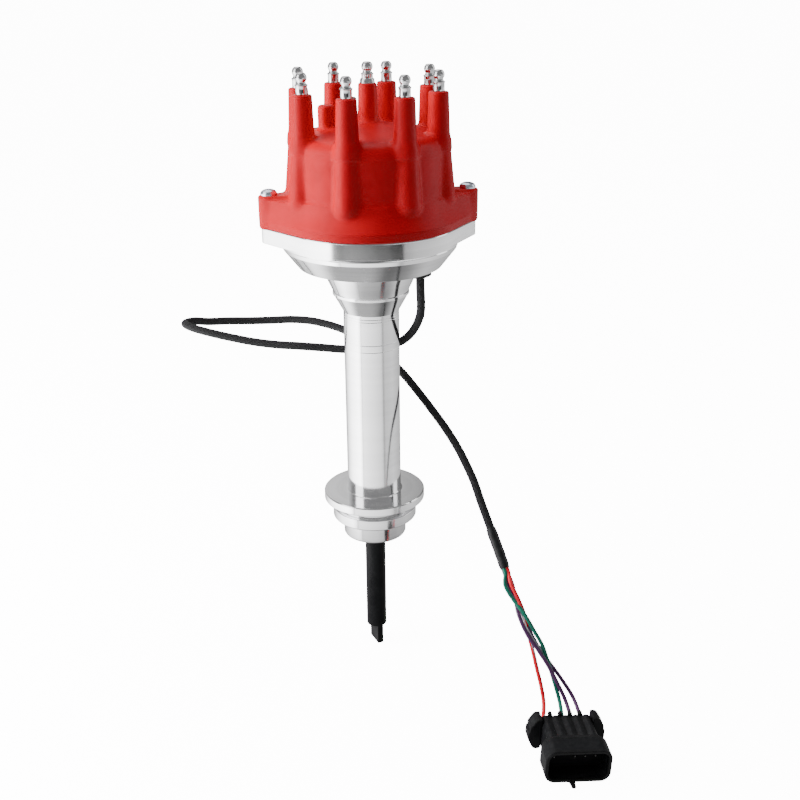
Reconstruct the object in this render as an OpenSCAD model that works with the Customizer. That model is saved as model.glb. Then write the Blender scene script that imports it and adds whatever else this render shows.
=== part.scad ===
// Ignition distributor for an eight cylinder engine: billet housing, moulded cap with male towers,
// shaft with a drive tang, rotor, trigger wheel, sensors and a sensor harness with its connector.
// The origin is the centre of the clamp flange's underside, on the shaft's axis. Z points up to the
// cap, and the cap's two ears lie on the X axis.

/* [Shaft] */
// Diameter of the shaft's exposed end
shaft_d = 12.7; // [11:0.1:13.5]
// Diameter of the ground journals that the bush and the bearing hold
journal_d = 12.6; // [10.9:0.1:13.4]
// Length of bare shaft between the bush and the tang
shaft_exposed = 66.5; // [40:0.5:90]
// Length of the drive tang
tang_length = 13; // [8:0.5:18]
// Thickness of the drive tang
tang_t = 3.8; // [3:0.1:6]
// Angle of the tang's blade from the X axis
tang_turn = 107; // [0:1:179]

/* [Housing] */
// Height of the clamp flange
flange_h = 5.2; // [3:0.1:10]
// Diameter of the clamp flange
flange_d = 62; // [56:0.5:80]
// Height of the seal groove under the flange
groove_h = 5.8; // [3:0.1:8]
// Diameter of the seal groove's floor
groove_d = 46; // [42:0.5:50]
// Height of the pilot land that centres the housing in the block
pilot_h = 6.7; // [4:0.1:12]
// Diameter of the pilot land
pilot_d = 51.66; // [50.5:0.02:54]
// Height of the nose under the pilot
nose_h = 11.9; // [6:0.1:20]
// Diameter of the nose
nose_d = 38.6; // [34:0.1:41]
// Height of the straight barrel above the flange
barrel_h = 115.5; // [60:0.5:160]
// Diameter of the barrel
barrel_d = 32.8; // [30:0.1:38]
// Height of the lower cone
lower_cone_h = 10.3; // [6:0.1:16]
// Diameter at the top of the lower cone
lower_cone_d = 44; // [40:0.5:44.5]
// Height of the raised ring between the cones
step_h = 1.7; // [1:0.1:4]
// Diameter of the raised ring
step_d = 44.8; // [44.6:0.1:48]
// Height of the upper cone
upper_cone_h = 15.8; // [14:0.1:20]
// Diameter at the top of the upper cone
upper_cone_d = 58.4; // [54:0.2:60]
// Diameter of the bowl's flat underside
bowl_floor_d = 83; // [80:0.5:86]
// Height of the bowl's cone
bowl_cone_h = 11.1; // [9:0.1:14]
// How far the bevel under the band steps in from it, on the radius
band_bevel = 0.8; // [0.3:0.1:2.5]
// Height of the bevel above the bowl's cone
bowl_bevel_h = 2.5; // [1:0.1:4]
// Height of the bowl's rim band, which carries the ears
band_h = 9.9; // [8:0.1:14]
// Diameter of the rim band
band_d = 101.2; // [100.9:0.1:104]
// Thickness of the bowl's wall
bowl_wall = 3; // [2.4:0.1:3.6]
// Thickness of the bowl's floor
bowl_floor_t = 3.5; // [3:0.1:5]
// Radius of an ear of the rim band
housing_ear_r = 5; // [4.6:0.1:5.3]
// Distance of a cap screw from the axis
ear_x = 56.4; // [55.5:0.1:60]
// Diameter of the oil relief bore between the bush and the bearing
relief_d = 17; // [16.6:0.1:20]

/* [Bush and bearing] */
// Outside diameter of the bronze bush
bush_d = 15.4; // [15:0.1:16]
// Length of the bush
bush_length = 20; // [12:0.5:24]
// Length of bush that stands proud of the nose
bush_proud = 1.6; // [1:0.1:4]
// Outside diameter of the ball bearing
bearing_d = 28.6; // [28:0.1:30]
// Width of the ball bearing
bearing_w = 7.9; // [7:0.1:9]
// Depth of the bearing's seat below the bowl's underside
bearing_sink = 2; // [1:0.1:4]
// Diameter of a ball
ball_d = 4; // [3.6:0.1:4.2]
// Number of balls
ball_count = 10; // [7:1:11]
// Thickness of the bearing's two shields
shield_t = 0.4; // [0.3:0.05:0.6]
// Thickness of a retaining ring
ring_t = 1.1; // [0.8:0.1:1.4]
// Depth of a retaining ring's groove
ring_groove = 0.8; // [0.5:0.1:1]
// Width across a retaining ring from its groove to its free edge
ring_w = 3; // [2:0.1:3.4]

/* [Trigger and sensors] */
// Radius of the trigger wheel's vanes at their outside
vane_r = 34.8; // [34:0.1:36]
// Thickness of the trigger wheel's vanes
vane_t = 2; // [1.5:0.1:2.4]
// Height of the trigger wheel's windows
vane_h = 5.7; // [4:0.1:6]
// Thickness of the trigger wheel's web
trigger_web = 2; // [1.5:0.1:3]
// Number of vanes
vane_count = 8; // [4:1:10]
// Diameter of the trigger wheel's hub
trigger_hub_d = 21; // [19:0.5:24]
// Height of the trigger wheel's hub
trigger_hub_h = 9.5; // [9:0.1:11]
// Diameter of the trigger wheel's set screw
set_screw_d = 3; // [2.5:0.1:3.5]
// Thickness of the potted sensor board
board_t = 3; // [2:0.1:3.4]
// Sector that the sensor board covers, in degrees
board_sweep = 92; // [84:1:110]
// Angle of a sensor from the middle of the board
sensor_swing = 22; // [20:1:26]
// Width of a sensor
sensor_w = 9; // [7:0.1:9.6]
// Air gap between a sensor and the vanes
sensor_gap = 0.8; // [0.6:0.1:1]

/* [Rotor] */
// Diameter of the rotor base's flange
rotor_base_d = 46; // [42:1:56]
// Diameter of the rotor's dome at its foot
rotor_dome_d = 24; // [20:0.5:28]
// Diameter of the rotor base's hub
rotor_hub_d = 20; // [18:0.5:24]
// Height of the rotor base's hub
rotor_hub_h = 11; // [10:0.5:12]
// Diameter of the pin through the hub and the shaft
hub_pin_d = 3; // [2.5:0.1:3.5]
// Radius that the rotor's blade reaches
rotor_reach = 35.7; // [34:0.1:35.9]
// Thickness of the rotor's blade
blade_t = 1.2; // [1:0.1:1.6]
// Width of the rotor's blade
blade_w = 8; // [6:0.5:9]
// Height of the rotor's moulded body
rotor_body_h = 17.5; // [17:0.1:18]
// Height of the rotor's contact spring
contact_spring_h = 4.6; // [4.2:0.1:4.8]

/* [Cap] */
// How far the cap's rim stands out beyond the band, on the radius
cap_overhang = 0.4; // [0.2:0.1:1.5]
// Radius of an ear of the cap's rim
cap_ear_r = 5.4; // [5.3:0.1:6]
// Height of the cap's upright rim
rim_h = 5.5; // [4:0.1:7]
// Height of the sloping skirt above the rim
skirt_h = 11; // [8:0.1:11.4]
// Height of an ear above the parting line
ear_h = 17; // [17:0.1:19]
// Diameter of an ear's upright boss
ear_boss_d = 10.6; // [9.8:0.1:10.6]
// Width of the web that joins an ear to the wall
ear_web = 10.4; // [8:0.1:10.5]
// Diameter of the cap's wall where the skirt meets it
wall_d = 88.6; // [88.2:0.1:90]
// Diameter of the cap's wall at the shoulder
wall_top_d = 88; // [87:0.1:88.2]
// Height of the cap's wall up to the shoulder
wall_h = 44.5; // [42:0.5:47]
// Radius of the shoulder between the wall and the deck
shoulder_r = 6; // [4:0.1:7]
// Height that the deck rises from the shoulder to the middle
deck_rise = 6.5; // [4:0.1:8]
// Thickness of the cap's wall
cap_wall = 3; // [2.4:0.1:3.4]
// Thickness of the cap's deck
deck_t = 5; // [4:0.1:5.6]
// Depth of the lip that centres the cap in the bowl
register_h = 2; // [1.2:0.1:3]

/* [Towers and terminals] */
// Number of plug towers
tower_count = 8; // [4:1:8]
// Radius of the circle of plug towers
tower_r = 40; // [39.8:0.1:40.4]
// Height of a plug tower's top above the parting line
tower_h = 73; // [66:0.5:80]
// Diameter of a tower's top
tower_top_d = 10.7; // [9.6:0.1:12]
// Diameter of a tower's foot, where the skirt cuts its rib off
tower_foot_d = 15.8; // [14:0.1:16.4]
// Height of the coil tower's top above the parting line
coil_tower_h = 77; // [70:0.5:84]
// Diameter of the coil tower's top
coil_top_d = 10.2; // [9.6:0.1:12]
// Diameter of the coil tower's foot
coil_foot_d = 11.8; // [10.4:0.1:14]
// Length of a terminal above its tower
terminal_h = 13; // [10:0.5:16]
// Diameter of a terminal's ball
ball_end_d = 6.2; // [5.6:0.1:6.3]
// Diameter of a terminal's shank
shank_d = 6.4; // [6.3:0.1:7]
// Diameter of a terminal's neck
neck_d = 5; // [4.4:0.1:5.4]
// Diameter of the rod that runs down inside a tower
insert_d = 4.4; // [3.6:0.1:5]
// Diameter of the coil terminal's collar
collar_d = 7.8; // [7:0.1:9]
// Height of the inner contacts' lower end above the parting line
contact_z = 22.5; // [21.5:0.1:23]
// Height of an inner contact
contact_h = 8; // [7:0.1:9]
// Width of an inner contact
contact_w = 4.4; // [3:0.1:5]
// Radial gap between the rotor's blade and the contacts
spark_gap = 0.8; // [0.6:0.1:1.2]
// Radial length of an inner contact
contact_l = 4.2; // [3.6:0.1:4.3]
// Diameter of the carbon brush
brush_d = 6; // [5:0.1:6.4]
// Length of the carbon brush
brush_h = 8.5; // [7:0.1:9]
// Height of the coil terminal's lower end above the parting line
coil_rod_z = 49; // [48:0.1:49.5]
// Diameter of the coil terminal's rod
coil_rod_d = 5; // [4:0.1:6]
// Height of the brush holder's lower end above the parting line
holder_z = 35; // [34:0.1:37]
// Diameter of the brush holder
holder_d = 12; // [11:0.1:13]
// Radius of the two vent bosses' centres
vent_r = 23; // [21:0.5:25]
// Diameter of a vent boss
vent_d = 9.3; // [8:0.1:10]
// Height of a vent boss's top above the parting line
vent_h = 66; // [62:0.5:68]
// Diameter of the black filter in the second boss
filter_d = 6.4; // [5:0.1:7]

/* [Fasteners] */
// Diameter of a cap screw
screw_d = 4.8; // [4:0.1:5.2]
// Diameter of a cap screw's pan head
screw_head_d = 9.5; // [8.6:0.1:10]
// Height of a cap screw's pan head
screw_head_h = 3.4; // [2.6:0.1:4]
// Diameter of a sensor or rotor screw
small_screw_d = 3; // [2.5:0.1:3.5]
// Diameter of a sensor or rotor screw's head
small_head_d = 5.6; // [5:0.1:6.2]

/* [Harness] */
// Diameter of the sleeved cable
cable_d = 5; // [4:0.1:5.4]
// Diameter of the shrink sleeve at the cable's end
end_sleeve_d = 6.2; // [5.6:0.1:7]
// Diameter of a wire
wire_d = 1.9; // [1.5:0.1:1.9]
// Width of the grommet across the bowl's floor
grommet_w = 10.4; // [9:0.1:10.6]
// Length of the straight part between the grommet's round ends
grommet_straight = 3.6; // [2:0.1:5]
// Depth of the grommet's flange below the bowl
grommet_drop = 4; // [2:0.1:5]
// Radius of the grommet's centre
grommet_r = 35.6; // [35.2:0.1:36]

/* [Connector] */
// Width of the connector's mouth
mouth_w = 37; // [34:0.5:40]
// Height of the connector's mouth
mouth_h = 20.3; // [18:0.1:22]
// Length of the connector's shroud
shroud_l = 13; // [11:0.5:16]
// Length of the taper behind the shroud
taper_l = 5; // [3:0.5:7]
// Length of the connector's body behind the taper
body_l = 16; // [14:0.5:20]
// Width of the connector's body
body_w = 26.5; // [25:0.5:30]
// Height of the connector's body
body_h = 16.4; // [14:0.1:17]
// Wall of the shroud
shroud_wall = 2; // [1.4:0.1:2.6]
// Distance between two wires in the connector
pin_pitch = 5.7; // [5.4:0.1:6]
// Diameter of a connector pin
pin_d = 1.6; // [1.2:0.1:2]
// Diameter of a seal's bore in the connector
seal_d = 4.6; // [4:0.1:4.8]
// Thickness of the rear lock's comb
comb_t = 1.8; // [1.2:0.1:2.4]
// Turn of the connector on the floor, in degrees
conn_turn = -3; // [-8:1:4]

/* [Hidden] */
$fn = 96;

// Radial clearance of a running fit, and of pieces that sit fast in each other
run_fit = 0.05;
seat_fit = 0.03;
// Gap between flat faces of pieces that pass each other
face_gap = 0.1;
// Overlap that lets joined solids share volume
eps = 0.01;

// Heights of the housing, from the tang up
z_pilot = -groove_h;
z_nose = z_pilot - pilot_h;
z_nose_end = z_nose - nose_h;
z_bush_end = z_nose_end - bush_proud;
z_shaft = z_bush_end - 1;
z_shoulder = z_bush_end - shaft_exposed;
z_tip = z_shoulder - tang_length;
z_cone = flange_h + barrel_h;
z_step = z_cone + lower_cone_h;
z_upper = z_step + step_h;
z_bowl = z_upper + upper_cone_h;
z_bevel = z_bowl + bowl_cone_h;
z_band = z_bevel + bowl_bevel_h;
z_part = z_band + band_h;
bowl_cone_d = band_d - 2 * band_bevel;
cap_d = band_d + 2 * cap_overhang;
z_floor = z_bowl + bowl_floor_t;
flange_edge = 0.5;
ear_drop = band_h - 1;

// Bowl's inside, parallel to its outer cone
cone_run = (bowl_cone_d - bowl_floor_d) / 2;
cone_len = sqrt(cone_run * cone_run + bowl_cone_h * bowl_cone_h);
bore_low_r = bowl_floor_d / 2 + cone_run * bowl_floor_t / bowl_cone_h - bowl_wall * cone_len / bowl_cone_h;
bowl_r = band_d / 2 - bowl_wall - 0.2;
z_bore = z_floor + (bowl_r - bore_low_r) * bowl_cone_h / cone_run;

// Bearing, its rings and what they hold
z_bear = z_bowl - bearing_sink;
z_bear_top = z_bear + bearing_w;
z_bear_mid = z_bear + bearing_w / 2;
ball_pitch_r = (journal_d + bearing_d) / 4;
land_in_r = ball_pitch_r - 1.3;
land_out_r = ball_pitch_r + 1.3;
ball_play = 0.03;
shield_in = 0.25;
cage_h = ball_d + 1;
cage_t = 1.6;
boss_wall = 4;
ring_cover = 1.6;
ring_relief_h = 3;

// Trigger wheel, sensors and board
z_hub = z_bear_top + ring_t + 0.6;
z_hub_top = z_hub + trigger_hub_h;
z_web = z_hub_top - trigger_web - 0.8;
z_vane = z_web - vane_h;
board_turn = -45;
board_in_r = 23;
board_out_r = bore_low_r - 1;
z_board = z_floor + board_t;
sensor_in_t = 3.4;
sensor_out_t = 3;
sensor_base = z_vane - z_board - 0.7;
screw_swing = 38;
screw_circle_r = 29;
small_head_h = 1.6;

// Rotor, its base and its blade
z_base = z_hub_top + 1.5;
z_base_top = z_base + rotor_hub_h;
base_flange_t = 3;
z_rotor = z_base_top;
z_blade = z_rotor + rotor_body_h;
z_spring = z_blade + blade_t;
z_brush = z_spring + contact_spring_h + face_gap;
shaft_top = z_base_top - 0.5;
rotor_turn = 22.5;
rotor_screw_x = 15;
rotor_disc_t = 3.2;

// Cap and its towers
z_rim = z_part + rim_h;
z_skirt = z_rim + skirt_h;
z_ear = z_part + ear_h;
z_wall = z_part + wall_h;
z_deck = z_wall + shoulder_r;
z_tower = z_part + tower_h;
z_coil = z_part + coil_tower_h;
z_vent = z_part + vent_h;
z_contact = z_part + contact_z;
z_insert = z_contact + contact_h;
z_holder = z_part + holder_z;
z_coil_rod = z_part + coil_rod_z;
tower_turn = 22.5;
inner_r = wall_d / 2 - cap_wall;
inner_top_r = wall_top_d / 2 - cap_wall;
contact_r = rotor_reach + spark_gap;
insert_boss_d = insert_d + 3.6;
vent_angles = [173, 112];
filter_depth = 3;
filter_proud = 0.6;

// Grommet and harness
grommet_turn = board_turn;
z_grommet = z_bowl - grommet_drop;
grommet_neck = grommet_w - 2.4;
grommet_lip = 1.4;
lead_pitch = 2;
lead_bend_r = 2.2;
end_pitch = 1;

// Connector on the floor, in its own frame: X across the mouth, Y to the back, Z up
conn_at = [92.5, -156, z_tip];
z_pin = mouth_h / 2;
y_body = shroud_l + taper_l;
y_back = y_body + body_l;
seal_l = 5;
cavity_l = shroud_l - 1;
crimp_d = 2.8;
crimp_l = 8;
lock_reach = 21.3;

// The cable's route, from under the grommet round behind the barrel, out in a loop and down to its end
cable_route = [[26, -22, 126], [25.5, -14, 116], [23, -4, 106], [18.5, 8, 97], [10, 18, 91],
    [-1, 22, 89], [-14, 25, 88], [-28, 27.5, 89], [-42, 30, 90], [-56, 35, 90], [-70, 40, 91],
    [-85, 46, 93], [-98, 52, 95], [-107, 59, 96], [-111, 66, 96], [-111, 73, 95], [-106, 79, 94],
    [-97, 82.5, 92], [-84, 85, 91], [-70, 86, 90], [-56, 85, 90], [-42, 81, 91], [-28, 74, 91],
    [-13, 63, 89], [-2, 50, 86], [9, 36, 81], [20, 22, 73], [29, 12, 63], [37, 3, 53],
    [43.5, -6, 44.5], [49, -15.5, 36], [53, -24, 28], [56.5, -32, 19.5], [59, -40, 10.5],
    [61, -45.5, 4], [63, -51, -2.5]];
sleeve_route = [[63, -51, -2.5], [65, -56.5, -9], [67, -62, -15.5], [68.5, -67, -21]];
// The wires' routes, from the end sleeve down to behind the connector, crossing one another once
red_route = [[71.5, -71, -29.5], [75, -75, -38], [77, -80, -46], [79, -86.5, -55],
    [80.5, -90.5, -62.5], [82, -96.5, -72], [83.5, -101.5, -80.5], [84, -107, -89]];
green_route = [[69.5, -73.5, -28.5], [73, -79, -35], [78, -84, -42.5], [82, -88.5, -52],
    [86, -92, -59.5], [89, -96, -69.5], [90.5, -100, -79], [90, -107, -89]];
violet_route = [[69.5, -71.5, -30.5], [72, -77.5, -37], [74, -83, -44], [77.5, -89, -53],
    [82, -93, -59.5], [87.5, -98, -68], [92, -101.5, -77], [95, -107, -88.5]];
violet_white_route = [[72, -73, -28], [75, -77.5, -36.5], [77.5, -82, -44.5], [80, -87.5, -53.5],
    [84, -90.5, -61], [90.5, -93.5, -71], [95, -98.5, -78.5], [100, -106, -88]];

function tower_angle(i) = tower_turn + i * 360 / tower_count;
function polar(r, a) = [r * cos(a), r * sin(a)];
function conn_point(p) = conn_at + [p[0] * cos(conn_turn) - p[1] * sin(conn_turn),
    p[0] * sin(conn_turn) + p[1] * cos(conn_turn), p[2]];
function pin_x(i) = (i - 1.5) * pin_pitch;

// The cable leaves the grommet's underside straight down
cable_start = [grommet_r * cos(grommet_turn), grommet_r * sin(grommet_turn), z_grommet];
cable_path = concat([cable_start, cable_start - [0, 0, 6]], cable_route);

// A tube swept along points: unit tangents, normals carried from ring to ring, and rings of corners
function unit(v) = v / norm(v);
function tangent(p, i) = unit(p[min(i + 1, len(p) - 1)] - p[max(i - 1, 0)]);
function carried(v, t) = unit(v - (v * t) * t);
function normals(p, i, n) = i == len(p) ? [] : let (m = carried(n, tangent(p, i)))
    concat([m], normals(p, i + 1, m));
function ring(c, n, b, r, sides) = [for (k = [0:sides - 1]) let (a = k * 360 / sides)
    c + r * (cos(a) * n + sin(a) * b)];

// Where a wire leaves the end sleeve: one of four corners round the sleeve's end
function wire_start(k) = let (
        e = sleeve_route[len(sleeve_route) - 1],
        t = tangent(sleeve_route, len(sleeve_route) - 1),
        n = carried([1, 0, 0], t),
        b = cross(t, n))
    e + (wire_d / 2 + end_pitch / 20) * ((k % 2 == 0 ? -1 : 1) * n + (k < 2 ? -1 : 1) * b);
function wire_lead(k) = wire_start(k) + 3 * tangent(sleeve_route, len(sleeve_route) - 1);
function wire_path(k, route, i) = concat([wire_start(k), wire_lead(k)], route,
    [conn_point([pin_x(i), y_back + 3, z_pin]), conn_point([pin_x(i), y_back - seal_l, z_pin])]);

module tube(p, d, sides) {
    count = len(p);
    frame = normals(p, 0, carried([0.3, 1, 0.2], tangent(p, 0)));
    points = [for (i = [0:count - 1])
        each ring(p[i], frame[i], cross(tangent(p, i), frame[i]), d / 2, sides)];
    wall = [for (i = [0:count - 2], k = [0:sides - 1]) let (j = (k + 1) % sides)
        [i * sides + k, (i + 1) * sides + k, (i + 1) * sides + j, i * sides + j]];
    start = [[for (k = [0:sides - 1]) k]];
    end = [[for (k = [sides - 1:-1:0]) (count - 1) * sides + k]];
    polyhedron(concat(points), concat(wall, start, end), convexity = 10);
}

// Outline of a rim with two ears: a disc, two ear circles and the tangents that join them
module eared_plan(r, ear) {
    tip = acos((r - ear) / ear_x);
    circle(r);
    for (side = [0, 180]) rotate(side) {
        translate([ear_x, 0]) circle(ear);
        polygon([polar(r, tip), [ear_x, 0] + polar(ear, tip), [ear_x, 0] + polar(ear, -tip),
            polar(r, -tip)]);
    }
}

// A rectangle with round corners, centred on X and standing on Y = 0
module rounded_plate(w, h, r) {
    for (x = [r - w / 2, w / 2 - r], y = [r, h - r]) translate([x, y]) circle(r);
    translate([-w / 2, r]) square([w, h - 2 * r]);
    translate([r - w / 2, 0]) square([w - 2 * r, h]);
}

// A slot outline with round ends, long across the radius
module slot_plan(w, straight) {
    for (y = [-straight / 2, straight / 2]) translate([0, y]) circle(w / 2);
    translate([-w / 2, -straight / 2]) square([w, straight]);
}

module sector(r_in, r_out, sweep, h) {
    rotate([0, 0, -sweep / 2]) rotate_extrude(angle = sweep) translate([r_in, 0]) square([r_out - r_in, h]);
}

module at_grommet(z) {
    rotate(grommet_turn) translate([grommet_r, 0, z]) children();
}

module pan_screw(d, length, head_d, head_h) {
    translate([0, 0, -length]) cylinder(d = d, h = length + eps);
    rotate_extrude() polygon([[0, 0], [head_d / 2, 0], [head_d / 2, head_h * 0.4],
        [head_d * 0.42, head_h * 0.78], [head_d * 0.26, head_h], [0, head_h]]);
}

// The cross that a screwdriver bites on
module cross_recess(w, depth) {
    for (a = [0, 90]) rotate(a) translate([-w / 2, -w / 8, -depth]) cube([w, w / 4, depth + 1]);
}

module housing() {
    color("silver") difference() {
        union() {
            rotate_extrude() polygon([[0, z_nose_end], [nose_d / 2 - flange_edge, z_nose_end],
                [nose_d / 2, z_nose_end + flange_edge], [nose_d / 2, z_nose],
                [pilot_d / 2 - flange_edge, z_nose],
                [pilot_d / 2, z_nose + flange_edge], [pilot_d / 2, z_pilot], [groove_d / 2, z_pilot],
                [groove_d / 2, 0], [flange_d / 2, 0], [flange_d / 2, flange_h - flange_edge],
                [flange_d / 2 - flange_edge, flange_h], [barrel_d / 2, flange_h], [barrel_d / 2, z_cone],
                [lower_cone_d / 2, z_step], [step_d / 2, z_step], [step_d / 2, z_upper],
                [upper_cone_d / 2, z_bowl], [bowl_floor_d / 2, z_bowl], [bowl_cone_d / 2, z_bevel],
                [band_d / 2, z_band], [band_d / 2, z_part], [0, z_part]]);
            translate([0, 0, z_part - ear_drop]) linear_extrude(ear_drop)
                eared_plan(band_d / 2, housing_ear_r);
        }
        // The bowl's inside, with the boss that holds the bearing standing on its floor
        rotate_extrude() polygon([[bearing_d / 2 + boss_wall, z_floor], [bore_low_r, z_floor],
            [bowl_r, z_bore],
            [bowl_r, z_part + 1], [0, z_part + 1], [0, z_bear_top + ring_t + ring_cover],
            [bearing_d / 2 + boss_wall, z_bear_top + ring_t + ring_cover]]);
        translate([0, 0, z_bear])
            cylinder(r = bearing_d / 2 + seat_fit, h = bearing_w + ring_t + ring_cover + 1);
        translate([0, 0, z_bear_top]) cylinder(r = bearing_d / 2 + ring_groove, h = ring_t + face_gap);
        translate([0, 0, z_bear - ring_relief_h]) cylinder(r = land_out_r - 1, h = ring_relief_h + 1);
        translate([0, 0, z_bush_end + bush_length])
            cylinder(d = relief_d, h = z_bear - z_bush_end - bush_length);
        translate([0, 0, z_nose_end - 1])
            cylinder(r = bush_d / 2 + seat_fit, h = bush_length - bush_proud + 2);
        for (x = [-ear_x, ear_x]) translate([x, 0, z_part - ear_drop - 1])
            cylinder(r = screw_d / 2 + seat_fit, h = ear_drop + 2);
        at_grommet(z_bowl - 1) linear_extrude(bowl_floor_t + 2)
            slot_plan(grommet_neck + 2 * seat_fit, grommet_straight);
        for (a = [-screw_swing, screw_swing]) rotate(board_turn + a)
            translate([screw_circle_r, 0, z_bowl + 0.8])
                cylinder(r = small_screw_d / 2 + seat_fit, h = bowl_floor_t);
    }
}

module lower_bushing() {
    edge = 0.5;
    color("peru") rotate_extrude() polygon([[journal_d / 2 + run_fit, z_bush_end],
        [bush_d / 2 - edge, z_bush_end],
        [bush_d / 2, z_bush_end + edge], [bush_d / 2, z_bush_end + bush_length],
        [journal_d / 2 + run_fit, z_bush_end + bush_length]]);
}

module bearing_groove() {
    rotate_extrude() translate([ball_pitch_r, z_bear_mid]) circle(ball_d / 2 + ball_play, $fn = 48);
}

module bearing_outer_race() {
    color("lightgray") difference() {
        translate([0, 0, z_bear]) difference() {
            cylinder(d = bearing_d, h = bearing_w);
            translate([0, 0, -1]) cylinder(r = land_out_r, h = bearing_w + 2);
        }
        bearing_groove();
    }
}

module bearing_inner_race() {
    color("lightgray") difference() {
        translate([0, 0, z_bear]) difference() {
            cylinder(r = land_in_r, h = bearing_w);
            translate([0, 0, -1]) cylinder(r = journal_d / 2 + seat_fit, h = bearing_w + 2);
        }
        bearing_groove();
    }
}

module bearing_shields() {
    color("dimgray") for (z = [z_bear + shield_in, z_bear_top - shield_in - shield_t]) translate([0, 0, z])
        difference() {
            cylinder(r = land_out_r - seat_fit, h = shield_t);
            translate([0, 0, -1]) cylinder(r = land_in_r + 0.2, h = shield_t + 2);
        }
}

module ball_ring(d) {
    for (i = [0:ball_count - 1]) rotate(i * 360 / ball_count) translate([ball_pitch_r, 0, z_bear_mid])
        sphere(d = d, $fn = 32);
}

module bearing_balls() {
    color("white") ball_ring(ball_d);
}

module bearing_cage() {
    color("goldenrod") difference() {
        translate([0, 0, z_bear_mid - cage_h / 2]) difference() {
            cylinder(r = ball_pitch_r + cage_t / 2, h = cage_h);
            translate([0, 0, -1]) cylinder(r = ball_pitch_r - cage_t / 2, h = cage_h + 2);
        }
        ball_ring(ball_d + 2 * run_fit);
    }
}

// A retaining ring: a flat open ring with a gap between its ends
module retaining_ring(r_in, r_out) {
    gap = 3;
    difference() {
        cylinder(r = r_out, h = ring_t);
        translate([0, 0, -1]) cylinder(r = r_in, h = ring_t + 2);
        translate([0, -gap / 2, -1]) cube([r_out + 1, gap, ring_t + 2]);
    }
}

module bearing_retaining_ring() {
    outer = bearing_d / 2 + ring_groove - seat_fit;
    color("slategray") translate([0, 0, z_bear_top + face_gap / 2]) retaining_ring(outer - ring_w, outer);
}

module shaft_retaining_rings() {
    inner = journal_d / 2 - ring_groove + seat_fit;
    color("slategray") for (z = [z_bear - ring_t - face_gap / 2, z_bear_top + face_gap / 2])
        translate([0, 0, z]) retaining_ring(inner, inner + ring_w - 0.4);
}

module drive_shaft() {
    color("#1c1c1e") difference() {
        union() {
            rotate_extrude() polygon([[0, z_shoulder], [shaft_d / 2, z_shoulder], [shaft_d / 2, z_shaft],
                [journal_d / 2, z_shaft], [journal_d / 2, shaft_top - 0.6], [journal_d / 2 - 0.6, shaft_top],
                [0, shaft_top]]);
            rotate(tang_turn) translate([0, 0, z_tip]) intersection() {
                cylinder(d = shaft_d, h = tang_length + eps);
                translate([-shaft_d, -tang_t / 2, -1]) cube([2 * shaft_d, tang_t, tang_length + 2]);
            }
        }
        for (z = [z_bear - ring_t - face_gap, z_bear_top]) translate([0, 0, z]) difference() {
            cylinder(d = journal_d + 2, h = ring_t + face_gap);
            translate([0, 0, -1]) cylinder(r = journal_d / 2 - ring_groove, h = ring_t + 2 + face_gap);
        }
        translate([0, 0, z_base + rotor_hub_h * 0.36]) rotate([0, 90, rotor_turn]) cylinder(
            r = hub_pin_d / 2 + seat_fit, h = rotor_hub_d, center = true);
    }
}

module trigger_wheel() {
    vane_sweep = 180 / vane_count;
    color("gray") difference() {
        union() {
            translate([0, 0, z_hub]) cylinder(d = trigger_hub_d, h = trigger_hub_h);
            translate([0, 0, z_web]) cylinder(r = vane_r - vane_t / 2, h = trigger_web);
            for (i = [0:vane_count - 1]) rotate((i + 0.5) * 360 / vane_count) translate([0, 0, z_vane])
                sector(vane_r - vane_t, vane_r, vane_sweep, vane_h + trigger_web - 0.3);
        }
        translate([0, 0, z_hub - 1]) cylinder(r = journal_d / 2 + seat_fit, h = trigger_hub_h + 2);
        translate([0, 0, z_hub + 2.2]) rotate([0, 90, 0])
            cylinder(r = set_screw_d / 2 + seat_fit, h = trigger_hub_d);
    }
}

module trigger_set_screw() {
    socket = 1.4;
    start = journal_d / 2 + seat_fit;
    color("#2a2a2c") translate([start, 0, z_hub + 2.2]) rotate([0, 90, 0]) difference() {
        cylinder(d = set_screw_d, h = trigger_hub_d / 2 - start);
        translate([0, 0, trigger_hub_d / 2 - start - 1.2]) cylinder(d = socket, h = 2, $fn = 6);
    }
}

module sensor_board() {
    color("#1e3a2a") difference() {
        rotate(board_turn) translate([0, 0, z_floor]) sector(board_in_r, board_out_r, board_sweep, board_t);
        at_grommet(z_floor - 1) linear_extrude(board_t + 2) slot_plan(grommet_w + 0.6, grommet_straight);
        for (a = [-screw_swing, screw_swing]) rotate(board_turn + a)
            translate([screw_circle_r, 0, z_floor - 1])
                cylinder(r = small_screw_d / 2 + seat_fit, h = board_t + 2);
    }
}

// Forked sensors that straddle the trigger wheel's vanes
module hall_sensors() {
    inner = vane_r - vane_t - sensor_gap;
    outer = vane_r + sensor_gap;
    post_h = sensor_base + vane_h * 0.8;
    color("#141416") for (a = [-sensor_swing, sensor_swing]) rotate(board_turn + a) translate([0, 0, z_board])
        union() {
            translate([inner - sensor_in_t, -sensor_w / 2, 0])
                cube([outer - inner + sensor_in_t + sensor_out_t, sensor_w, sensor_base]);
            translate([inner - sensor_in_t, -sensor_w / 2, 0]) intersection() {
                cube([sensor_in_t, sensor_w, post_h]);
                translate([sensor_in_t - inner, sensor_w / 2, -1]) cylinder(r = inner, h = post_h + 2);
            }
            intersection() {
                translate([outer - 1, -sensor_w / 2, 0]) cube([sensor_out_t + 1, sensor_w, post_h]);
                difference() {
                    cylinder(r = outer + sensor_out_t, h = post_h);
                    translate([0, 0, -1]) cylinder(r = outer, h = post_h + 2);
                }
            }
        }
}

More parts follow.
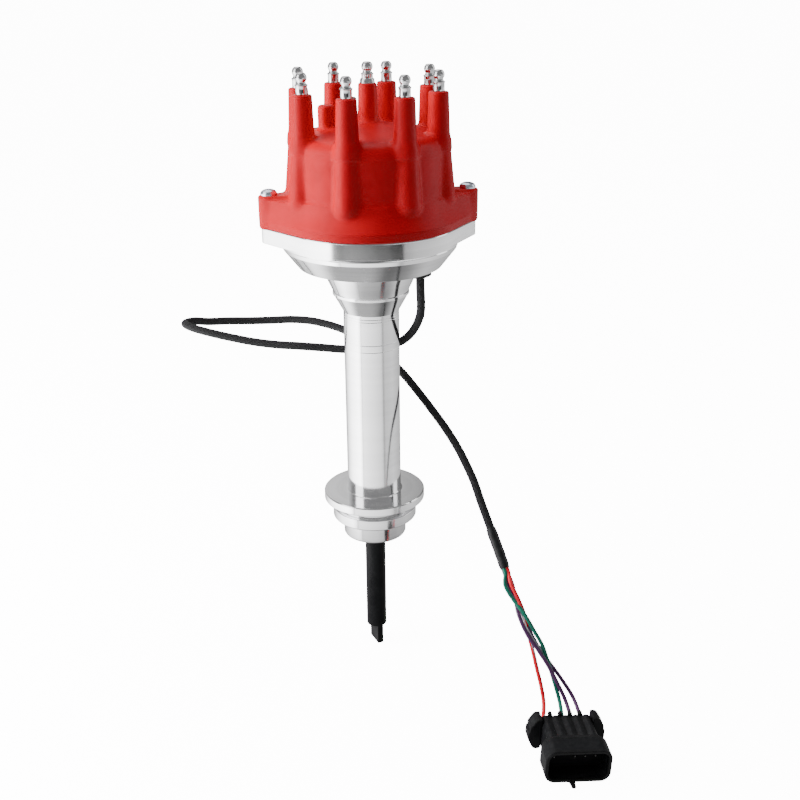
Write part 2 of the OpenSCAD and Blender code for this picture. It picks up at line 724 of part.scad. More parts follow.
module sensor_screws() {
    color("silver") for (a = [-screw_swing, screw_swing]) rotate(board_turn + a)
        translate([screw_circle_r, 0, z_board])
            pan_screw(small_screw_d, board_t + bowl_floor_t - 1, small_head_d, small_head_h);
}

// Four short leads that arch from the grommet to the board
module sensor_leads() {
    lead_r = grommet_r - grommet_w / 2 + 1.6;
    color("#7a1f1f") rotate(grommet_turn) for (k = [0:3])
        translate([lead_r - lead_bend_r, (k - 1.5) * lead_pitch, z_board]) {
            rotate([90, 0, 0]) rotate_extrude(angle = 180) translate([lead_bend_r, 0])
                circle(d = wire_d, $fn = 24);
            translate([lead_bend_r, 0, grommet_lip - board_t])
                cylinder(d = wire_d, h = board_t - grommet_lip + eps, $fn = 24);
        }
}

module cable_grommet() {
    color("#161618") {
        at_grommet(z_grommet) linear_extrude(grommet_drop) slot_plan(grommet_w, grommet_straight);
        at_grommet(z_bowl - eps) linear_extrude(bowl_floor_t + 2 * eps)
            slot_plan(grommet_neck, grommet_straight);
        at_grommet(z_floor) linear_extrude(grommet_lip) slot_plan(grommet_w, grommet_straight);
    }
}

module rotor_base() {
    color("dimgray") difference() {
        translate([0, 0, z_base]) union() {
            cylinder(d = rotor_hub_d, h = rotor_hub_h);
            translate([0, 0, rotor_hub_h - base_flange_t]) cylinder(d = rotor_base_d, h = base_flange_t);
        }
        translate([0, 0, z_base - 1]) cylinder(r = journal_d / 2 + seat_fit, h = rotor_hub_h + 2);
        translate([0, 0, z_base + rotor_hub_h * 0.36]) rotate([0, 90, rotor_turn]) cylinder(
            r = hub_pin_d / 2 + seat_fit, h = rotor_hub_d + 2, center = true);
        rotate(rotor_turn) for (y = [-rotor_screw_x, rotor_screw_x])
            translate([0, y, z_base]) cylinder(r = small_screw_d / 2 + seat_fit, h = rotor_hub_h + 1);
    }
}

module rotor_base_pin() {
    color("lightgray") translate([0, 0, z_base + rotor_hub_h * 0.36]) rotate([0, 90, rotor_turn])
        cylinder(d = hub_pin_d, h = rotor_hub_d - 0.6, center = true);
}

// The moulded rotor: a disc, a dome and the arm under the blade
module rotor() {
    dome_h = rotor_body_h - rotor_disc_t;
    arm_w = blade_w + 4;
    color("#b01414") rotate(rotor_turn) translate([0, 0, z_rotor]) difference() {
        union() {
            cylinder(d = rotor_base_d + 2, h = rotor_disc_t);
            cylinder(d1 = rotor_dome_d, d2 = rotor_dome_d - 7, h = rotor_disc_t + dome_h);
            translate([0, -arm_w / 2, rotor_body_h - 6]) cube([rotor_reach - 4, arm_w, 6]);
            translate([0, -2, 0]) cube([rotor_base_d / 2, 4, rotor_body_h - 1]);
        }
        for (y = [-rotor_screw_x, rotor_screw_x]) translate([0, y, -1]) {
            cylinder(r = small_screw_d / 2 + seat_fit, h = rotor_disc_t + 2);
            translate([0, 0, rotor_disc_t + 1]) cylinder(d = small_head_d + 1, h = rotor_body_h);
        }
    }
}

module rotor_blade() {
    color("gold") rotate(rotor_turn) translate([0, 0, z_blade]) intersection() {
        translate([-blade_w * 0.75, -blade_w / 2, 0]) cube([rotor_reach + blade_w, blade_w, blade_t]);
        cylinder(r = rotor_reach, h = blade_t);
    }
}

// A leaf that is fixed on the blade at one end and arches up under the brush
module rotor_contact_spring() {
    leaf = 0.6;
    foot = 5;
    h = contact_spring_h;
    color("goldenrod") rotate(rotor_turn) translate([0, 2.5, z_spring]) rotate([90, 0, 0]) linear_extrude(5)
        polygon([[-foot, 0], [foot + 6, 0], [foot + 6, leaf], [foot, leaf], [3, h - leaf], [3, h], [-3, h],
            [-foot, leaf]]);
}

module rotor_screws() {
    color("silver") rotate(rotor_turn) for (y = [-rotor_screw_x, rotor_screw_x])
        translate([0, y, z_rotor + rotor_disc_t])
            pan_screw(small_screw_d, rotor_disc_t + base_flange_t - 0.5, small_head_d, small_head_h);
}

// The skirt that slopes from the eared rim to the round wall, with the ears as wide all the way up
module cap_skirt() {
    ledge = 0.2;
    tuck = 0.4;
    hull() {
        translate([0, 0, z_rim - 0.5]) linear_extrude(0.5)
            eared_plan(cap_d / 2 - ledge, cap_ear_r - ledge, $fn = 48);
        translate([0, 0, z_skirt - 0.02]) linear_extrude(0.02)
            eared_plan(wall_d / 2 - tuck, cap_ear_r - tuck, $fn = 48);
    }
}

module cap() {
    deck_edge_r = wall_top_d / 2 - shoulder_r;
    color("#cf1f22") difference() {
        union() {
            translate([0, 0, z_part]) linear_extrude(rim_h) eared_plan(cap_d / 2, cap_ear_r);
            cap_skirt();
            // Wall, shoulder and deck in one turn
            rotate_extrude() {
                polygon([[0, z_part], [wall_d / 2, z_part], [wall_d / 2, z_rim], [wall_top_d / 2, z_wall],
                    [deck_edge_r, z_wall], [deck_edge_r, z_deck], [coil_foot_d / 2, z_deck + deck_rise],
                    [0, z_deck + deck_rise]]);
                translate([deck_edge_r, z_wall]) intersection() {
                    circle(shoulder_r);
                    square(shoulder_r);
                }
            }
            for (i = [0:tower_count - 1]) rotate(tower_angle(i)) translate([tower_r, 0, z_rim])
                cylinder(d1 = tower_foot_d, d2 = tower_top_d, h = z_tower - z_rim);
            translate([0, 0, z_deck]) cylinder(d1 = coil_foot_d, d2 = coil_top_d, h = z_coil - z_deck);
            for (a = vent_angles) rotate(a) translate([vent_r, 0, z_wall])
                cylinder(d = vent_d, h = z_vent - z_wall);
            for (side = [0, 180]) rotate(side) {
                translate([ear_x, 0, z_part]) cylinder(d = ear_boss_d, h = ear_h);
                translate([wall_d / 2 - 3, -ear_web / 2, z_part])
                    cube([ear_x - wall_d / 2 + 3, ear_web, ear_h]);
            }
            translate([0, 0, z_part - register_h]) cylinder(r = bowl_r - run_fit, h = register_h + eps);
        }
        difference() {
            rotate_extrude() polygon([[0, z_part - register_h - 1], [inner_r, z_part - register_h - 1],
                [inner_r, z_skirt], [inner_top_r, z_wall - 7], [deck_edge_r - 1, z_deck - deck_t],
                [holder_d / 2, z_deck + deck_rise - deck_t], [0, z_deck + deck_rise - deck_t]]);
            for (i = [0:tower_count - 1]) rotate(tower_angle(i)) translate([tower_r, 0, z_insert])
                cylinder(d = insert_boss_d, h = z_deck - z_insert);
            translate([0, 0, z_holder]) cylinder(d = holder_d, h = z_deck + deck_rise - z_holder - 1);
        }
        for (i = [0:tower_count - 1]) rotate(tower_angle(i)) translate([tower_r, 0, z_insert - 1])
            cylinder(r = insert_d / 2 + seat_fit, h = z_tower - z_insert + 2);
        translate([0, 0, z_holder - 1]) cylinder(r = brush_d / 2 + run_fit, h = z_coil_rod - z_holder + 1);
        translate([0, 0, z_coil_rod - eps])
            cylinder(r = coil_rod_d / 2 + seat_fit, h = z_coil - z_coil_rod + 1);
        rotate(vent_angles[1]) translate([vent_r, 0, z_vent - filter_depth])
            cylinder(r = filter_d / 2 + seat_fit, h = filter_depth + 1);
        for (x = [-ear_x, ear_x]) translate([x, 0, z_part - 1])
            cylinder(r = screw_d / 2 + seat_fit, h = ear_h + 2);
    }
}

// Everything of a terminal above its tower, turned: shank, neck and ball
module terminal_head(base_h) {
    ball_r = ball_end_d / 2;
    z_ball = terminal_h - ball_r;
    neck_z = z_ball - ball_r;
    rotate_extrude() {
        polygon([[0, 0], [shank_d / 2, 0], [shank_d / 2, base_h], [neck_d / 2, neck_z - 0.2],
            [neck_d / 2, neck_z + 1.2], [0, neck_z + 1.6]]);
        translate([0, z_ball]) intersection() {
            circle(ball_r, $fn = 64);
            translate([0, -ball_r]) square([ball_r, 2 * ball_r - 0.4]);
        }
    }
}

module plug_terminals() {
    shank_h = 5;
    color("gainsboro") for (i = [0:tower_count - 1]) rotate(tower_angle(i)) translate([tower_r, 0, 0]) {
        translate([0, 0, z_tower]) terminal_head(shank_h);
        translate([0, 0, z_insert]) cylinder(d = insert_d, h = z_tower - z_insert + eps);
    }
}

module plug_contacts() {
    color("gold") for (i = [0:tower_count - 1]) rotate(tower_angle(i)) translate([0, 0, z_contact])
        intersection() {
            translate([contact_r - 1, -contact_w / 2, 0]) cube([contact_l + 1, contact_w, contact_h]);
            difference() {
                cylinder(r = contact_r + contact_l, h = contact_h);
                translate([0, 0, -1]) cylinder(r = contact_r, h = contact_h + 2);
            }
        }
}

module coil_terminal() {
    collar_h = 2.4;
    shank_h = 5;
    color("gainsboro") {
        translate([0, 0, z_coil]) {
            terminal_head(shank_h);
            cylinder(d1 = collar_d + 0.8, d2 = collar_d, h = collar_h);
        }
        translate([0, 0, z_coil_rod]) cylinder(d = coil_rod_d, h = z_coil - z_coil_rod + eps);
    }
}

module centre_brush() {
    edge = 0.6;
    color("#202022") translate([0, 0, z_brush]) rotate_extrude() polygon([[0, 0], [brush_d / 2 - edge, 0],
        [brush_d / 2, edge], [brush_d / 2, brush_h], [0, brush_h]]);
}

module brush_spring() {
    turns = 5;
    steps = 12;
    spring_wire = 0.7;
    coil_r = (brush_d - spring_wire) / 2 - 0.4;
    low = z_brush + brush_h + spring_wire / 2 + face_gap / 2;
    high = z_coil_rod - spring_wire / 2 - face_gap / 2;
    path = [for (k = [0:turns * steps]) let (a = k * 360 / steps)
        [coil_r * cos(a), coil_r * sin(a), low + (high - low) * k / (turns * steps)]];
    color("silver") tube(path, spring_wire, 6);
}

module vent_filter() {
    color("#101012") rotate(vent_angles[1]) translate([vent_r, 0, z_vent - filter_depth])
        cylinder(d = filter_d, h = filter_depth + filter_proud);
}

module cap_screws() {
    color("silver") for (x = [-ear_x, ear_x]) translate([x, 0, z_ear]) difference() {
        pan_screw(screw_d, ear_h + ear_drop - 1.5, screw_head_d, screw_head_h);
        translate([0, 0, screw_head_h]) cross_recess(screw_head_d * 0.5, screw_head_h * 0.55);
    }
}

module pickup_cable() {
    color("#17171a") tube(cable_path, cable_d, 10);
}

module cable_end_sleeve() {
    color("#0e0e10") tube(sleeve_route, end_sleeve_d, 12);
}

module wire_red_white() {
    color("#d01020") tube(wire_path(1, red_route, 0), wire_d, 8);
}

module wire_green() {
    color("#00805a") tube(wire_path(2, green_route, 1), wire_d, 8);
}

module wire_violet() {
    color("#5a2a6a") tube(wire_path(0, violet_route, 2), wire_d, 8);
}

module wire_violet_white() {
    color("#6a3a7a") tube(wire_path(3, violet_white_route, 3), wire_d, 8);
}

module in_connector() {
    translate(conn_at) rotate(conn_turn) children();
}

// An outline in X and Z, run along Y from y0 to y1 in the connector's frame
module along_y(y0, y1) {
    translate([0, y1, 0]) rotate([90, 0, 0]) linear_extrude(y1 - y0) children();
}

module connector_shell() {
    mouth_r = 6;
    body_r = 3;
    rib_d = 5.4;
    body_low = (mouth_h - body_h) / 2;
    tongue = [3.4, 5, 2];
    slab = 0.02;
    color("#141416") in_connector() difference() {
        union() {
            along_y(0, shroud_l) rounded_plate(mouth_w, mouth_h, mouth_r);
            hull() {
                along_y(shroud_l - slab, shroud_l) rounded_plate(mouth_w, mouth_h, mouth_r, $fn = 32);
                along_y(y_body, y_body + slab) translate([0, body_low])
                    rounded_plate(body_w, body_h, body_r, $fn = 32);
            }
            along_y(y_body, y_back) translate([0, body_low]) rounded_plate(body_w, body_h, body_r);
            for (i = [0:3], z = [body_low + rib_d / 2 - 1, mouth_h - body_low - rib_d / 2 + 1])
                translate([pin_x(i), y_back, z]) rotate([90, 0, 0]) cylinder(d = rib_d, h = body_l);
            translate([-tongue[0] / 2, -tongue[1], 0]) cube([tongue[0], tongue[1] + 1, tongue[2]]);
        }
        along_y(-1, cavity_l) translate([0, shroud_wall])
            rounded_plate(mouth_w - 2 * shroud_wall, mouth_h - 2 * shroud_wall, mouth_r - shroud_wall);
        for (i = [0:3]) translate([pin_x(i), y_back + 1, z_pin]) rotate([90, 0, 0]) {
            cylinder(r = seal_d / 2 + seat_fit, h = seal_l + crimp_l + 1);
            cylinder(r = pin_d / 2 + seat_fit, h = y_back);
        }
    }
}

// The rear lock: a comb behind the wires' seals with an arm along each side of the body
module connector_lock() {
    side = body_w / 2 + face_gap;
    arm_l = 11;
    comb_z = 2;
    arm_h = 11;
    notch_w = wire_d + 1.2;
    color("#101012") in_connector() difference() {
        union() {
            translate([-lock_reach, y_back + face_gap, comb_z]) cube([2 * lock_reach, comb_t, z_pin]);
            for (x = [-1, 1]) translate([x * (side + lock_reach) / 2, y_back + face_gap - arm_l / 2, comb_z])
                linear_extrude(arm_h) translate([0, -arm_l / 2])
                    rounded_plate(lock_reach - side, arm_l + 1, 2);
        }
        for (x = [-1, 1]) translate([x * lock_reach - 2, y_back - arm_l / 2 - 1, -1])
            cube([4, 2, mouth_h]);
        for (i = [0:3]) translate([pin_x(i) - notch_w / 2, y_back - 1, z_pin - notch_w / 2])
            cube([notch_w, comb_t + 2, mouth_h]);
    }
}

module connector_seals() {
    color("#2b5f8a") in_connector() for (i = [0:3]) translate([pin_x(i), y_back, z_pin]) rotate([90, 0, 0])
        difference() {
            cylinder(d = seal_d, h = seal_l);
            translate([0, 0, -1]) cylinder(r = wire_d / 2 + seat_fit, h = seal_l + 2);
        }
}

module connector_pins() {
    tip_in = 2.5;
    color("gainsboro") in_connector() for (i = [0:3])
        translate([pin_x(i), y_back - seal_l - face_gap / 2, z_pin]) rotate([90, 0, 0]) {
            cylinder(d = crimp_d, h = crimp_l - 0.5);
            cylinder(d = pin_d, h = y_back - seal_l - tip_in);
        }
}

housing();
lower_bushing();
bearing_outer_race();
bearing_shields();
bearing_retaining_ring();
bearing_inner_race();
bearing_cage();
bearing_balls();
drive_shaft();
shaft_retaining_rings();
trigger_wheel();
trigger_set_screw();
sensor_board();
hall_sensors();
sensor_screws();
sensor_leads();
cable_grommet();
rotor_base();
rotor_base_pin();
rotor();
rotor_blade();
rotor_contact_spring();
rotor_screws();
cap();
plug_terminals();
plug_contacts();
coil_terminal();
centre_brush();
brush_spring();
vent_filter();
cap_screws();
pickup_cable();
cable_end_sleeve();
wire_red_white();
wire_green();
wire_violet();
wire_violet_white();
connector_shell();
connector_lock();
connector_seals();
connector_pins();
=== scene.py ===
"""Ignition distributor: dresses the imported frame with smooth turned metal, a moulded cap with soft
fillets, chromed terminals, a braided cable, four wires and their connector."""
import math

import bmesh
import bpy
import numpy as np
from mathutils import Matrix, Vector


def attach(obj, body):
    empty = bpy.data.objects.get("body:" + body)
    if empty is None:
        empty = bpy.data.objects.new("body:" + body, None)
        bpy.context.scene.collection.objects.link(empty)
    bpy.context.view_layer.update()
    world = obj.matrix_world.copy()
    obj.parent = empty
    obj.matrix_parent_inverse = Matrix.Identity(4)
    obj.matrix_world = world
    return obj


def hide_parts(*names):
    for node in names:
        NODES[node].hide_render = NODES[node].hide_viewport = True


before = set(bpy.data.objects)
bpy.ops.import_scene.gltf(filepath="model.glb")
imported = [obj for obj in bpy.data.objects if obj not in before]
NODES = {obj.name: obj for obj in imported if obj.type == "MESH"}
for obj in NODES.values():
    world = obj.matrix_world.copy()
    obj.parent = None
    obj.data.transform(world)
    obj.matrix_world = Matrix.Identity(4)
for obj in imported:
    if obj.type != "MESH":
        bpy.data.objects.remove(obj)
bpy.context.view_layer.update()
MM = 0.001
HOUSING, SHAFT = "housing_body", "shaft_body"

# Heights along the shaft and main sizes, in millimetres, as in the part's source; the bevel lies 0.6 lower
Z_TIP, Z_SHOULDER, Z_SHAFT = -105.5, -92.5, -27.0
Z_NOSE_END, Z_NOSE, Z_PILOT = -24.4, -12.5, -5.8
FLANGE_H, Z_CONE, Z_STEP, Z_UPPER = 5.2, 120.7, 131.0, 132.7
Z_BOWL, Z_BEVEL, Z_BAND, Z_PART = 148.5, 159.2, 161.5, 172.0
Z_RIM, Z_SKIRT, Z_EAR, Z_WALL, Z_DECK = 177.5, 188.5, 190.0, 216.5, 222.5
Z_TOWER, Z_COIL, Z_VENT, Z_FILTER = 246.0, 249.5, 238.0, 234.5
EAR_X, BAND_R, BOWL_R, TOWER_R = 56.4, 50.6, 47.4, 40.0
VENT_R, VENT_TURNS = 23.0, (173.0, 112.0)
RIB_FOOT_R, Z_RIB, RIB_R, RIB_LENGTH, RIB_TAPER = 42.0, 190.0, 7.5, 31.0, 0.038
BAND_EAR_R, RIM_R, RIM_EAR_R, BOSS_R, SHANK_R = 5.0, 51.0, 5.4, 4.65, 3.2
FIRST_TOWER, TOWERS = 22.5, 8
TOWER_TURNS = [FIRST_TOWER + 45 * i for i in range(TOWERS)]

# The stage, in metres, and how brightly it glows
FLOOR_Z, FLOOR_HALF, MIRROR_HALF = -0.1056, 14, 6
WALL_R, WALL_TOP, WALL_SIDES = 13.5, 16, 48
FLOOR_GLOW, MIRROR_GLOW = 13.0, 16.0

# ---------------------------------------------------------------- camera and studio

def make_camera():
    """The photograph's camera: position, turn and lens, in the part's own frame."""
    pitch, roll, turn = math.radians(21.663), math.radians(-0.496), math.radians(7.9)
    ahead = Vector((0, math.cos(pitch), -math.sin(pitch)))
    up = Vector((0, math.sin(pitch), math.cos(pitch)))
    right = Vector((1, 0, 0))
    side = right * math.cos(roll) + up * math.sin(roll)
    top = up * math.cos(roll) - right * math.sin(roll)
    to_part = Matrix.Rotation(-turn, 3, "Z")
    axes = Matrix((to_part @ side, to_part @ top, to_part @ -ahead)).transposed()
    data = bpy.data.cameras.new("camera")
    data.lens, data.sensor_width = 52.44, 36
    data.clip_start, data.clip_end = 0.05, 20
    camera = linked("camera", data)
    camera.matrix_world = Matrix.Translation(Vector((-73.784, -650.88, 323.232)) * MM) @ axes.to_4x4()
    bpy.context.scene.camera = camera


def area_light(name, spot, target, size, power):
    data = bpy.data.lights.new(name, "AREA")
    data.shape, data.size, data.size_y = "RECTANGLE", size[0], size[1]
    data.energy = power
    light = linked(name, data)
    light.location = spot
    light.rotation_mode = "QUATERNION"
    light.rotation_quaternion = (Vector(target) - Vector(spot)).to_track_quat("-Z", "Y")
    return light


def linked(name, data):
    """A new object in the scene, at the origin."""
    thing = bpy.data.objects.new(name, data)
    bpy.context.scene.collection.objects.link(thing)
    return thing


def stage_sheet(name, corners, paint, faces=None):
    """A sheet of the stage, its corners in metres; it is one face unless faces are given."""
    mesh = bpy.data.meshes.new(name)
    mesh.from_pydata(corners, [], faces or [tuple(range(len(corners)))])
    mesh.materials.append(paint)
    sheet = linked(name, mesh)
    return sheet


def floor_square(half):
    return [(x * half, y * half, FLOOR_Z) for x, y in ((-1, -1), (1, -1), (1, 1), (-1, 1))]


def make_studio():
    """A white table and wall for the camera, soft panels, and a second table that only the metal mirrors."""
    world = bpy.data.worlds.new("studio")
    bpy.context.scene.world = world
    world.use_nodes = True
    tree = world.node_tree
    sky = tree.nodes["Background"]
    sky.inputs["Strength"].default_value = 1.0
    parts = xyz(tree, coordinates(tree, "Generated"))
    swing = math_node(tree, "ADD", math_node(tree, "MULTIPLY", parts[0], 0.5), 0.5)
    card = grey_fade(tree, swing, [(0.0, 0.5), (0.522, 1.15), (0.590, 0.19), (1.0, 0.19)])
    behind = rise_between(tree, parts[1], 0.4, 0.7, "LINEAR")
    tree.links.new(mixed(tree, behind, (0.30, 0.30, 0.30, 1), card), sky.inputs["Color"])

    paint, _, skin = shader("pale_floor", (0.9, 0.9, 0.9), 0.7)
    skin.inputs["Emission Color"].default_value = (1, 1, 1, 1)
    skin.inputs["Emission Strength"].default_value = FLOOR_GLOW
    turns = [math.tau * k / WALL_SIDES for k in range(WALL_SIDES)]
    wall = [(WALL_R * math.cos(a), WALL_R * math.sin(a), height) for height in (FLOOR_Z, WALL_TOP) for a in turns]
    panes = [(k, (k + 1) % WALL_SIDES, WALL_SIDES + (k + 1) % WALL_SIDES, WALL_SIDES + k) for k in range(WALL_SIDES)]
    for sheet in (stage_sheet("floor", floor_square(FLOOR_HALF), paint), stage_sheet("backdrop", wall, paint, panes)):
        sheet.visible_diffuse = sheet.visible_glossy = sheet.visible_shadow = False
    mirrored = stage_sheet("mirrored_table", floor_square(MIRROR_HALF), mirrored_paint())
    mirrored.visible_camera = mirrored.visible_diffuse = mirrored.visible_shadow = False

    area_light("panel_left", (-1.0, -0.25, 0.55), (0, 0, 0.14), (0.7, 1.1), 10)
    key = area_light("panel_key", (-1.0, 0.12, 0.42), (0, 0, 0.16), (0.5, 0.7), 20)
    key.visible_glossy = False
    area_light("panel_right", (0.9, 0.1, 0.5), (0, 0, 0.12), (0.4, 1.1), 2.5)
    area_light("panel_top", (-0.2, 0.3, 1.1), (0, 0, 0.1), (1.0, 0.8), 4)


def mirrored_paint():
    """The table as the metal sees it: its tones change round the part, in four zones by distance from it; the zone
    nearest the part glows less, a painted shadow of the part.
    """
    mat = bpy.data.materials.new("mirrored_table")
    mat.use_nodes = True
    tree = mat.node_tree
    tree.nodes.clear()
    parts = xyz(tree, fed(tree, "ShaderNodeVectorRotate", {"Vector": coordinates(tree), "Angle": math.radians(96.5)},
                          rotation_type="Z_AXIS"))
    swing = math_node(tree, "ARCTAN2", parts[1], parts[0])
    share = math_node(tree, "ADD", math_node(tree, "MULTIPLY", swing, 0.5 / math.pi), 0.5)
    radius = off_axis(tree, parts)

    def round_ramp(*stops):
        """Glow at each turn in degrees, from straight behind over the left, the front and the right."""
        return grey_fade(tree, share, [(0.5 + degrees / 360, glow / MIRROR_GLOW) for degrees, glow in stops])

    # Painted shadow: under the part the table glows far less than further out, standing in for the part's shadow on it.
    under = round_ramp(
        (-180, 0.6), (-60, 0.62), (0, 0.56), (20, 0.46), (46, 0.3), (58, 0.17), (77, 0.16), (92, 0.27), (110, 0.36),
        (180, 0.55))
    near = round_ramp(
        (-180, 0.3), (-162, 0.5), (-140, 1.4), (-97, 6.2), (-60, 8.5), (-48, 5.0), (-46.5, 1.6), (-45, 1.6),
        (-43.5, 3.4), (-10, 2.5), (32, 1.6), (40, 1.3), (43, 0.62), (47, 0.62), (52, 1.0), (90, 1.15), (130, 0.8),
        (160, 0.6), (180, 0.3))
    far = round_ramp(
        (-180, 0.3), (-160, 0.6), (-142, 1.2), (-97, 7.0), (-52, 9.0), (-48, 0.5), (-38, 0.14), (-27, 0.28),
        (-8, 0.22), (10, 0.10), (24, 0.08), (27, 0.02), (41.5, 0.02), (43.5, 0.5), (60, 0.8), (120, 1.2), (155, 0.7),
        (180, 0.3))
    beyond = round_ramp(
        (-180, 0.10), (-135, 0.14), (-105, 1.2), (-75, 6.0), (-40, 4.0), (-22, 0.5), (-5, 0.12), (12, 0.25), (30, 2.2),
        (65, 1.6), (95, 0.5), (125, 0.12), (180, 0.10))
    tone = mixed(tree, rise_between(tree, radius, 0.80, 0.92), near, far)
    tone = mixed(tree, rise_between(tree, radius, 1.9, 2.3), tone, beyond)
    # Near the axis the painted shadow zone takes over.
    tone = mixed(tree, rise_between(tree, radius, 0.125, 0.26), under, tone)
    glow = fed(tree, "ShaderNodeEmission", {"Strength": MIRROR_GLOW, "Color": tone})
    tree.links.new(glow, tree.nodes.new("ShaderNodeOutputMaterial").inputs["Surface"])
    return mat


# ---------------------------------------------------------------- materials

def shader(name, colour, rough, metal=0.0, shine=0.5):
    mat = bpy.data.materials.new(name)
    mat.use_nodes = True
    skin = mat.node_tree.nodes["Principled BSDF"]
    for socket, value in (("Base Color", (*colour, 1)), ("Roughness", rough), ("Metallic", metal),
                          ("Specular IOR Level", shine)):
        skin.inputs[socket].default_value = value
    return mat, mat.node_tree, skin


def fed(tree, kind, inputs, out=0, **settings):
    """One output of a new node, whose inputs are linked to sockets or set to plain values."""
    node = tree.nodes.new(kind)
    for key, value in settings.items():
        setattr(node, key, value)
    for socket, value in inputs.items():
        if isinstance(value, bpy.types.NodeSocket):
            tree.links.new(value, node.inputs[socket])
        else:
            node.inputs[socket].default_value = value
    return node.outputs[out]


def math_node(tree, operation, *values):
    return fed(tree, "ShaderNodeMath", dict(enumerate(values)), operation=operation)


def coordinates(tree, kind="Object"):
    return fed(tree, "ShaderNodeTexCoord", {}, kind)


def unrolled(tree):
    """A cord's own map: millimetres along it and share of a turn round it."""
    return fed(tree, "ShaderNodeUVMap", {}, uv_map="along")


def xyz(tree, vector):
    return fed(tree, "ShaderNodeSeparateXYZ", {0: vector}, slice(3))


def off_axis(tree, parts):
    """How far a point lies from the Z axis."""
    squares = [math_node(tree, "MULTIPLY", parts[d], parts[d]) for d in (0, 1)]
    return math_node(tree, "SQRT", math_node(tree, "ADD", *squares))


def rise_between(tree, value, low, high, curve="SMOOTHSTEP"):
    """0 below the low value, 1 above the high one."""
    return fed(tree, "ShaderNodeMapRange", {"Value": value, "From Min": low, "From Max": high},
               interpolation_type=curve)


def spread(tree, value, low, high):
    return fed(tree, "ShaderNodeMapRange", {"Value": value, "To Min": low, "To Max": high})


def mixed(tree, share, first, second):
    """The first colour where the share is 0, the second where it is 1."""
    return fed(tree, "ShaderNodeMix", {0: share, 6: first, 7: second}, 2, data_type="RGBA")


def cloud(tree, where, scale, detail=3.0, rough=0.5):
    return fed(tree, "ShaderNodeTexNoise",
               {"Vector": where, "Scale": scale, "Detail": detail, "Roughness": rough}, "Fac")


def fade(tree, value, stops):
    """A colour ramp through (position, colour) stops."""
    node = tree.nodes.new("ShaderNodeValToRGB")
    ramp = node.color_ramp
    while len(ramp.elements) < len(stops):
        ramp.elements.new(0.5)
    for element, (position, colour) in zip(ramp.elements, stops):
        element.position = position
        element.color = (*colour, 1)
    tree.links.new(value, node.inputs["Fac"])
    return node.outputs["Color"]


def grey_fade(tree, value, stops):
    return fade(tree, value, [(position, (tone,) * 3) for position, tone in stops])


def dress(tree, skin, tone, height, depth, strength=1.0, rough=None):
    """Leads the nodes for colour, relief and, where it varies, roughness into a material."""
    relief = fed(tree, "ShaderNodeBump", {"Height": height, "Distance": depth, "Strength": strength}, "Normal")
    for socket, source in (("Base Color", tone), ("Normal", relief), ("Roughness", rough)):
        if source is not None:
            tree.links.new(source, skin.inputs[socket])


def turned_metal(name, dark, light, rough):
    """Metal turned on a lathe: fine rings round Z, faint tone changes between passes of the tool."""
    mat, tree, skin = shader(name, light, rough, 1.0)
    parts = xyz(tree, coordinates(tree))
    where = fed(tree, "ShaderNodeCombineXYZ", {0: off_axis(tree, parts), 2: parts[2]})
    passes, lines = cloud(tree, where, 260, 2), cloud(tree, where, 2600, 4, 0.7)
    dress(tree, skin, fade(tree, passes, [(0.3, dark), (0.7, light)]), lines, 0.000004,
          rough=spread(tree, lines, rough * 0.6, rough * 1.4))
    return mat


def mottled(name, dark, light, rough, metal=0.0, scale=300.0, grain=0.00002, shine=0.5):
    """A finish with soft tone changes and a fine grain."""
    mat, tree, skin = shader(name, light, rough, metal, shine)
    where = coordinates(tree)
    tone, fine = cloud(tree, where, scale, 3), cloud(tree, where, scale * 12, 3, 0.6)
    dress(tree, skin, fade(tree, tone, [(0.3, dark), (0.7, light)]), fine, grain,
          rough=spread(tree, fine, rough * 0.8, rough * 1.2))
    return mat


def striped_insulation(name, ground, tracer=None):
    """Wire insulation; the tracer is a painted stripe, a tenth of the girth wide, winding slowly round the wire."""
    mat, tree, skin = shader(name, ground, 0.38, shine=0.35)
    line = unrolled(tree)
    grain = cloud(tree, line, 40, 2)
    if tracer is None:
        tone = fade(tree, grain, [(0.3, tuple(0.82 * c for c in ground)), (0.7, ground)])
    else:
        along, around = xyz(tree, line)[:2]
        turn = math_node(tree, "FRACT", math_node(tree, "ADD", around, math_node(tree, "MULTIPLY", along, 0.012)))
        tone = fade(tree, turn, [(0.0, ground), (0.40, ground), (0.42, tracer), (0.52, tracer), (0.54, ground),
                                 (1.0, ground)])
    dress(tree, skin, tone, grain, 0.00002)
    return mat


def woven_sleeve(name):
    """Black braid: two sets of flat strands that cross over and under, on the tube's own UV; the strands are painted
    darker where they dip, as painted shade in the weave's hollows.
    """
    mat, tree, skin = shader(name, (0.01, 0.01, 0.011), 0.62, shine=0.22)
    parts = xyz(tree, unrolled(tree))
    along, around = math_node(tree, "MULTIPLY", parts[0], 0.42), math_node(tree, "MULTIPLY", parts[1], 10.0)
    strands = [math_node(tree, way, along, around) for way in ("ADD", "SUBTRACT")]
    waves = [math_node(tree, "SINE", math_node(tree, "MULTIPLY", strand, math.pi)) for strand in strands]
    left, right = (math_node(tree, "ABSOLUTE", wave) for wave in waves)
    height = fed(tree, "ShaderNodeMix", {"Factor": math_node(tree, "GREATER_THAN", waves[0], 0), 2: left, 3: right})
    # Painted shade: the tone falls from the strands' tops to near black where they dip under each other.
    tone = fade(tree, height, [(0.0, (0.002, 0.002, 0.002)), (0.5, (0.007, 0.007, 0.008)),
                               (1.0, (0.016, 0.016, 0.018))])
    dress(tree, skin, tone, height, 0.0002, 0.9)
    return mat


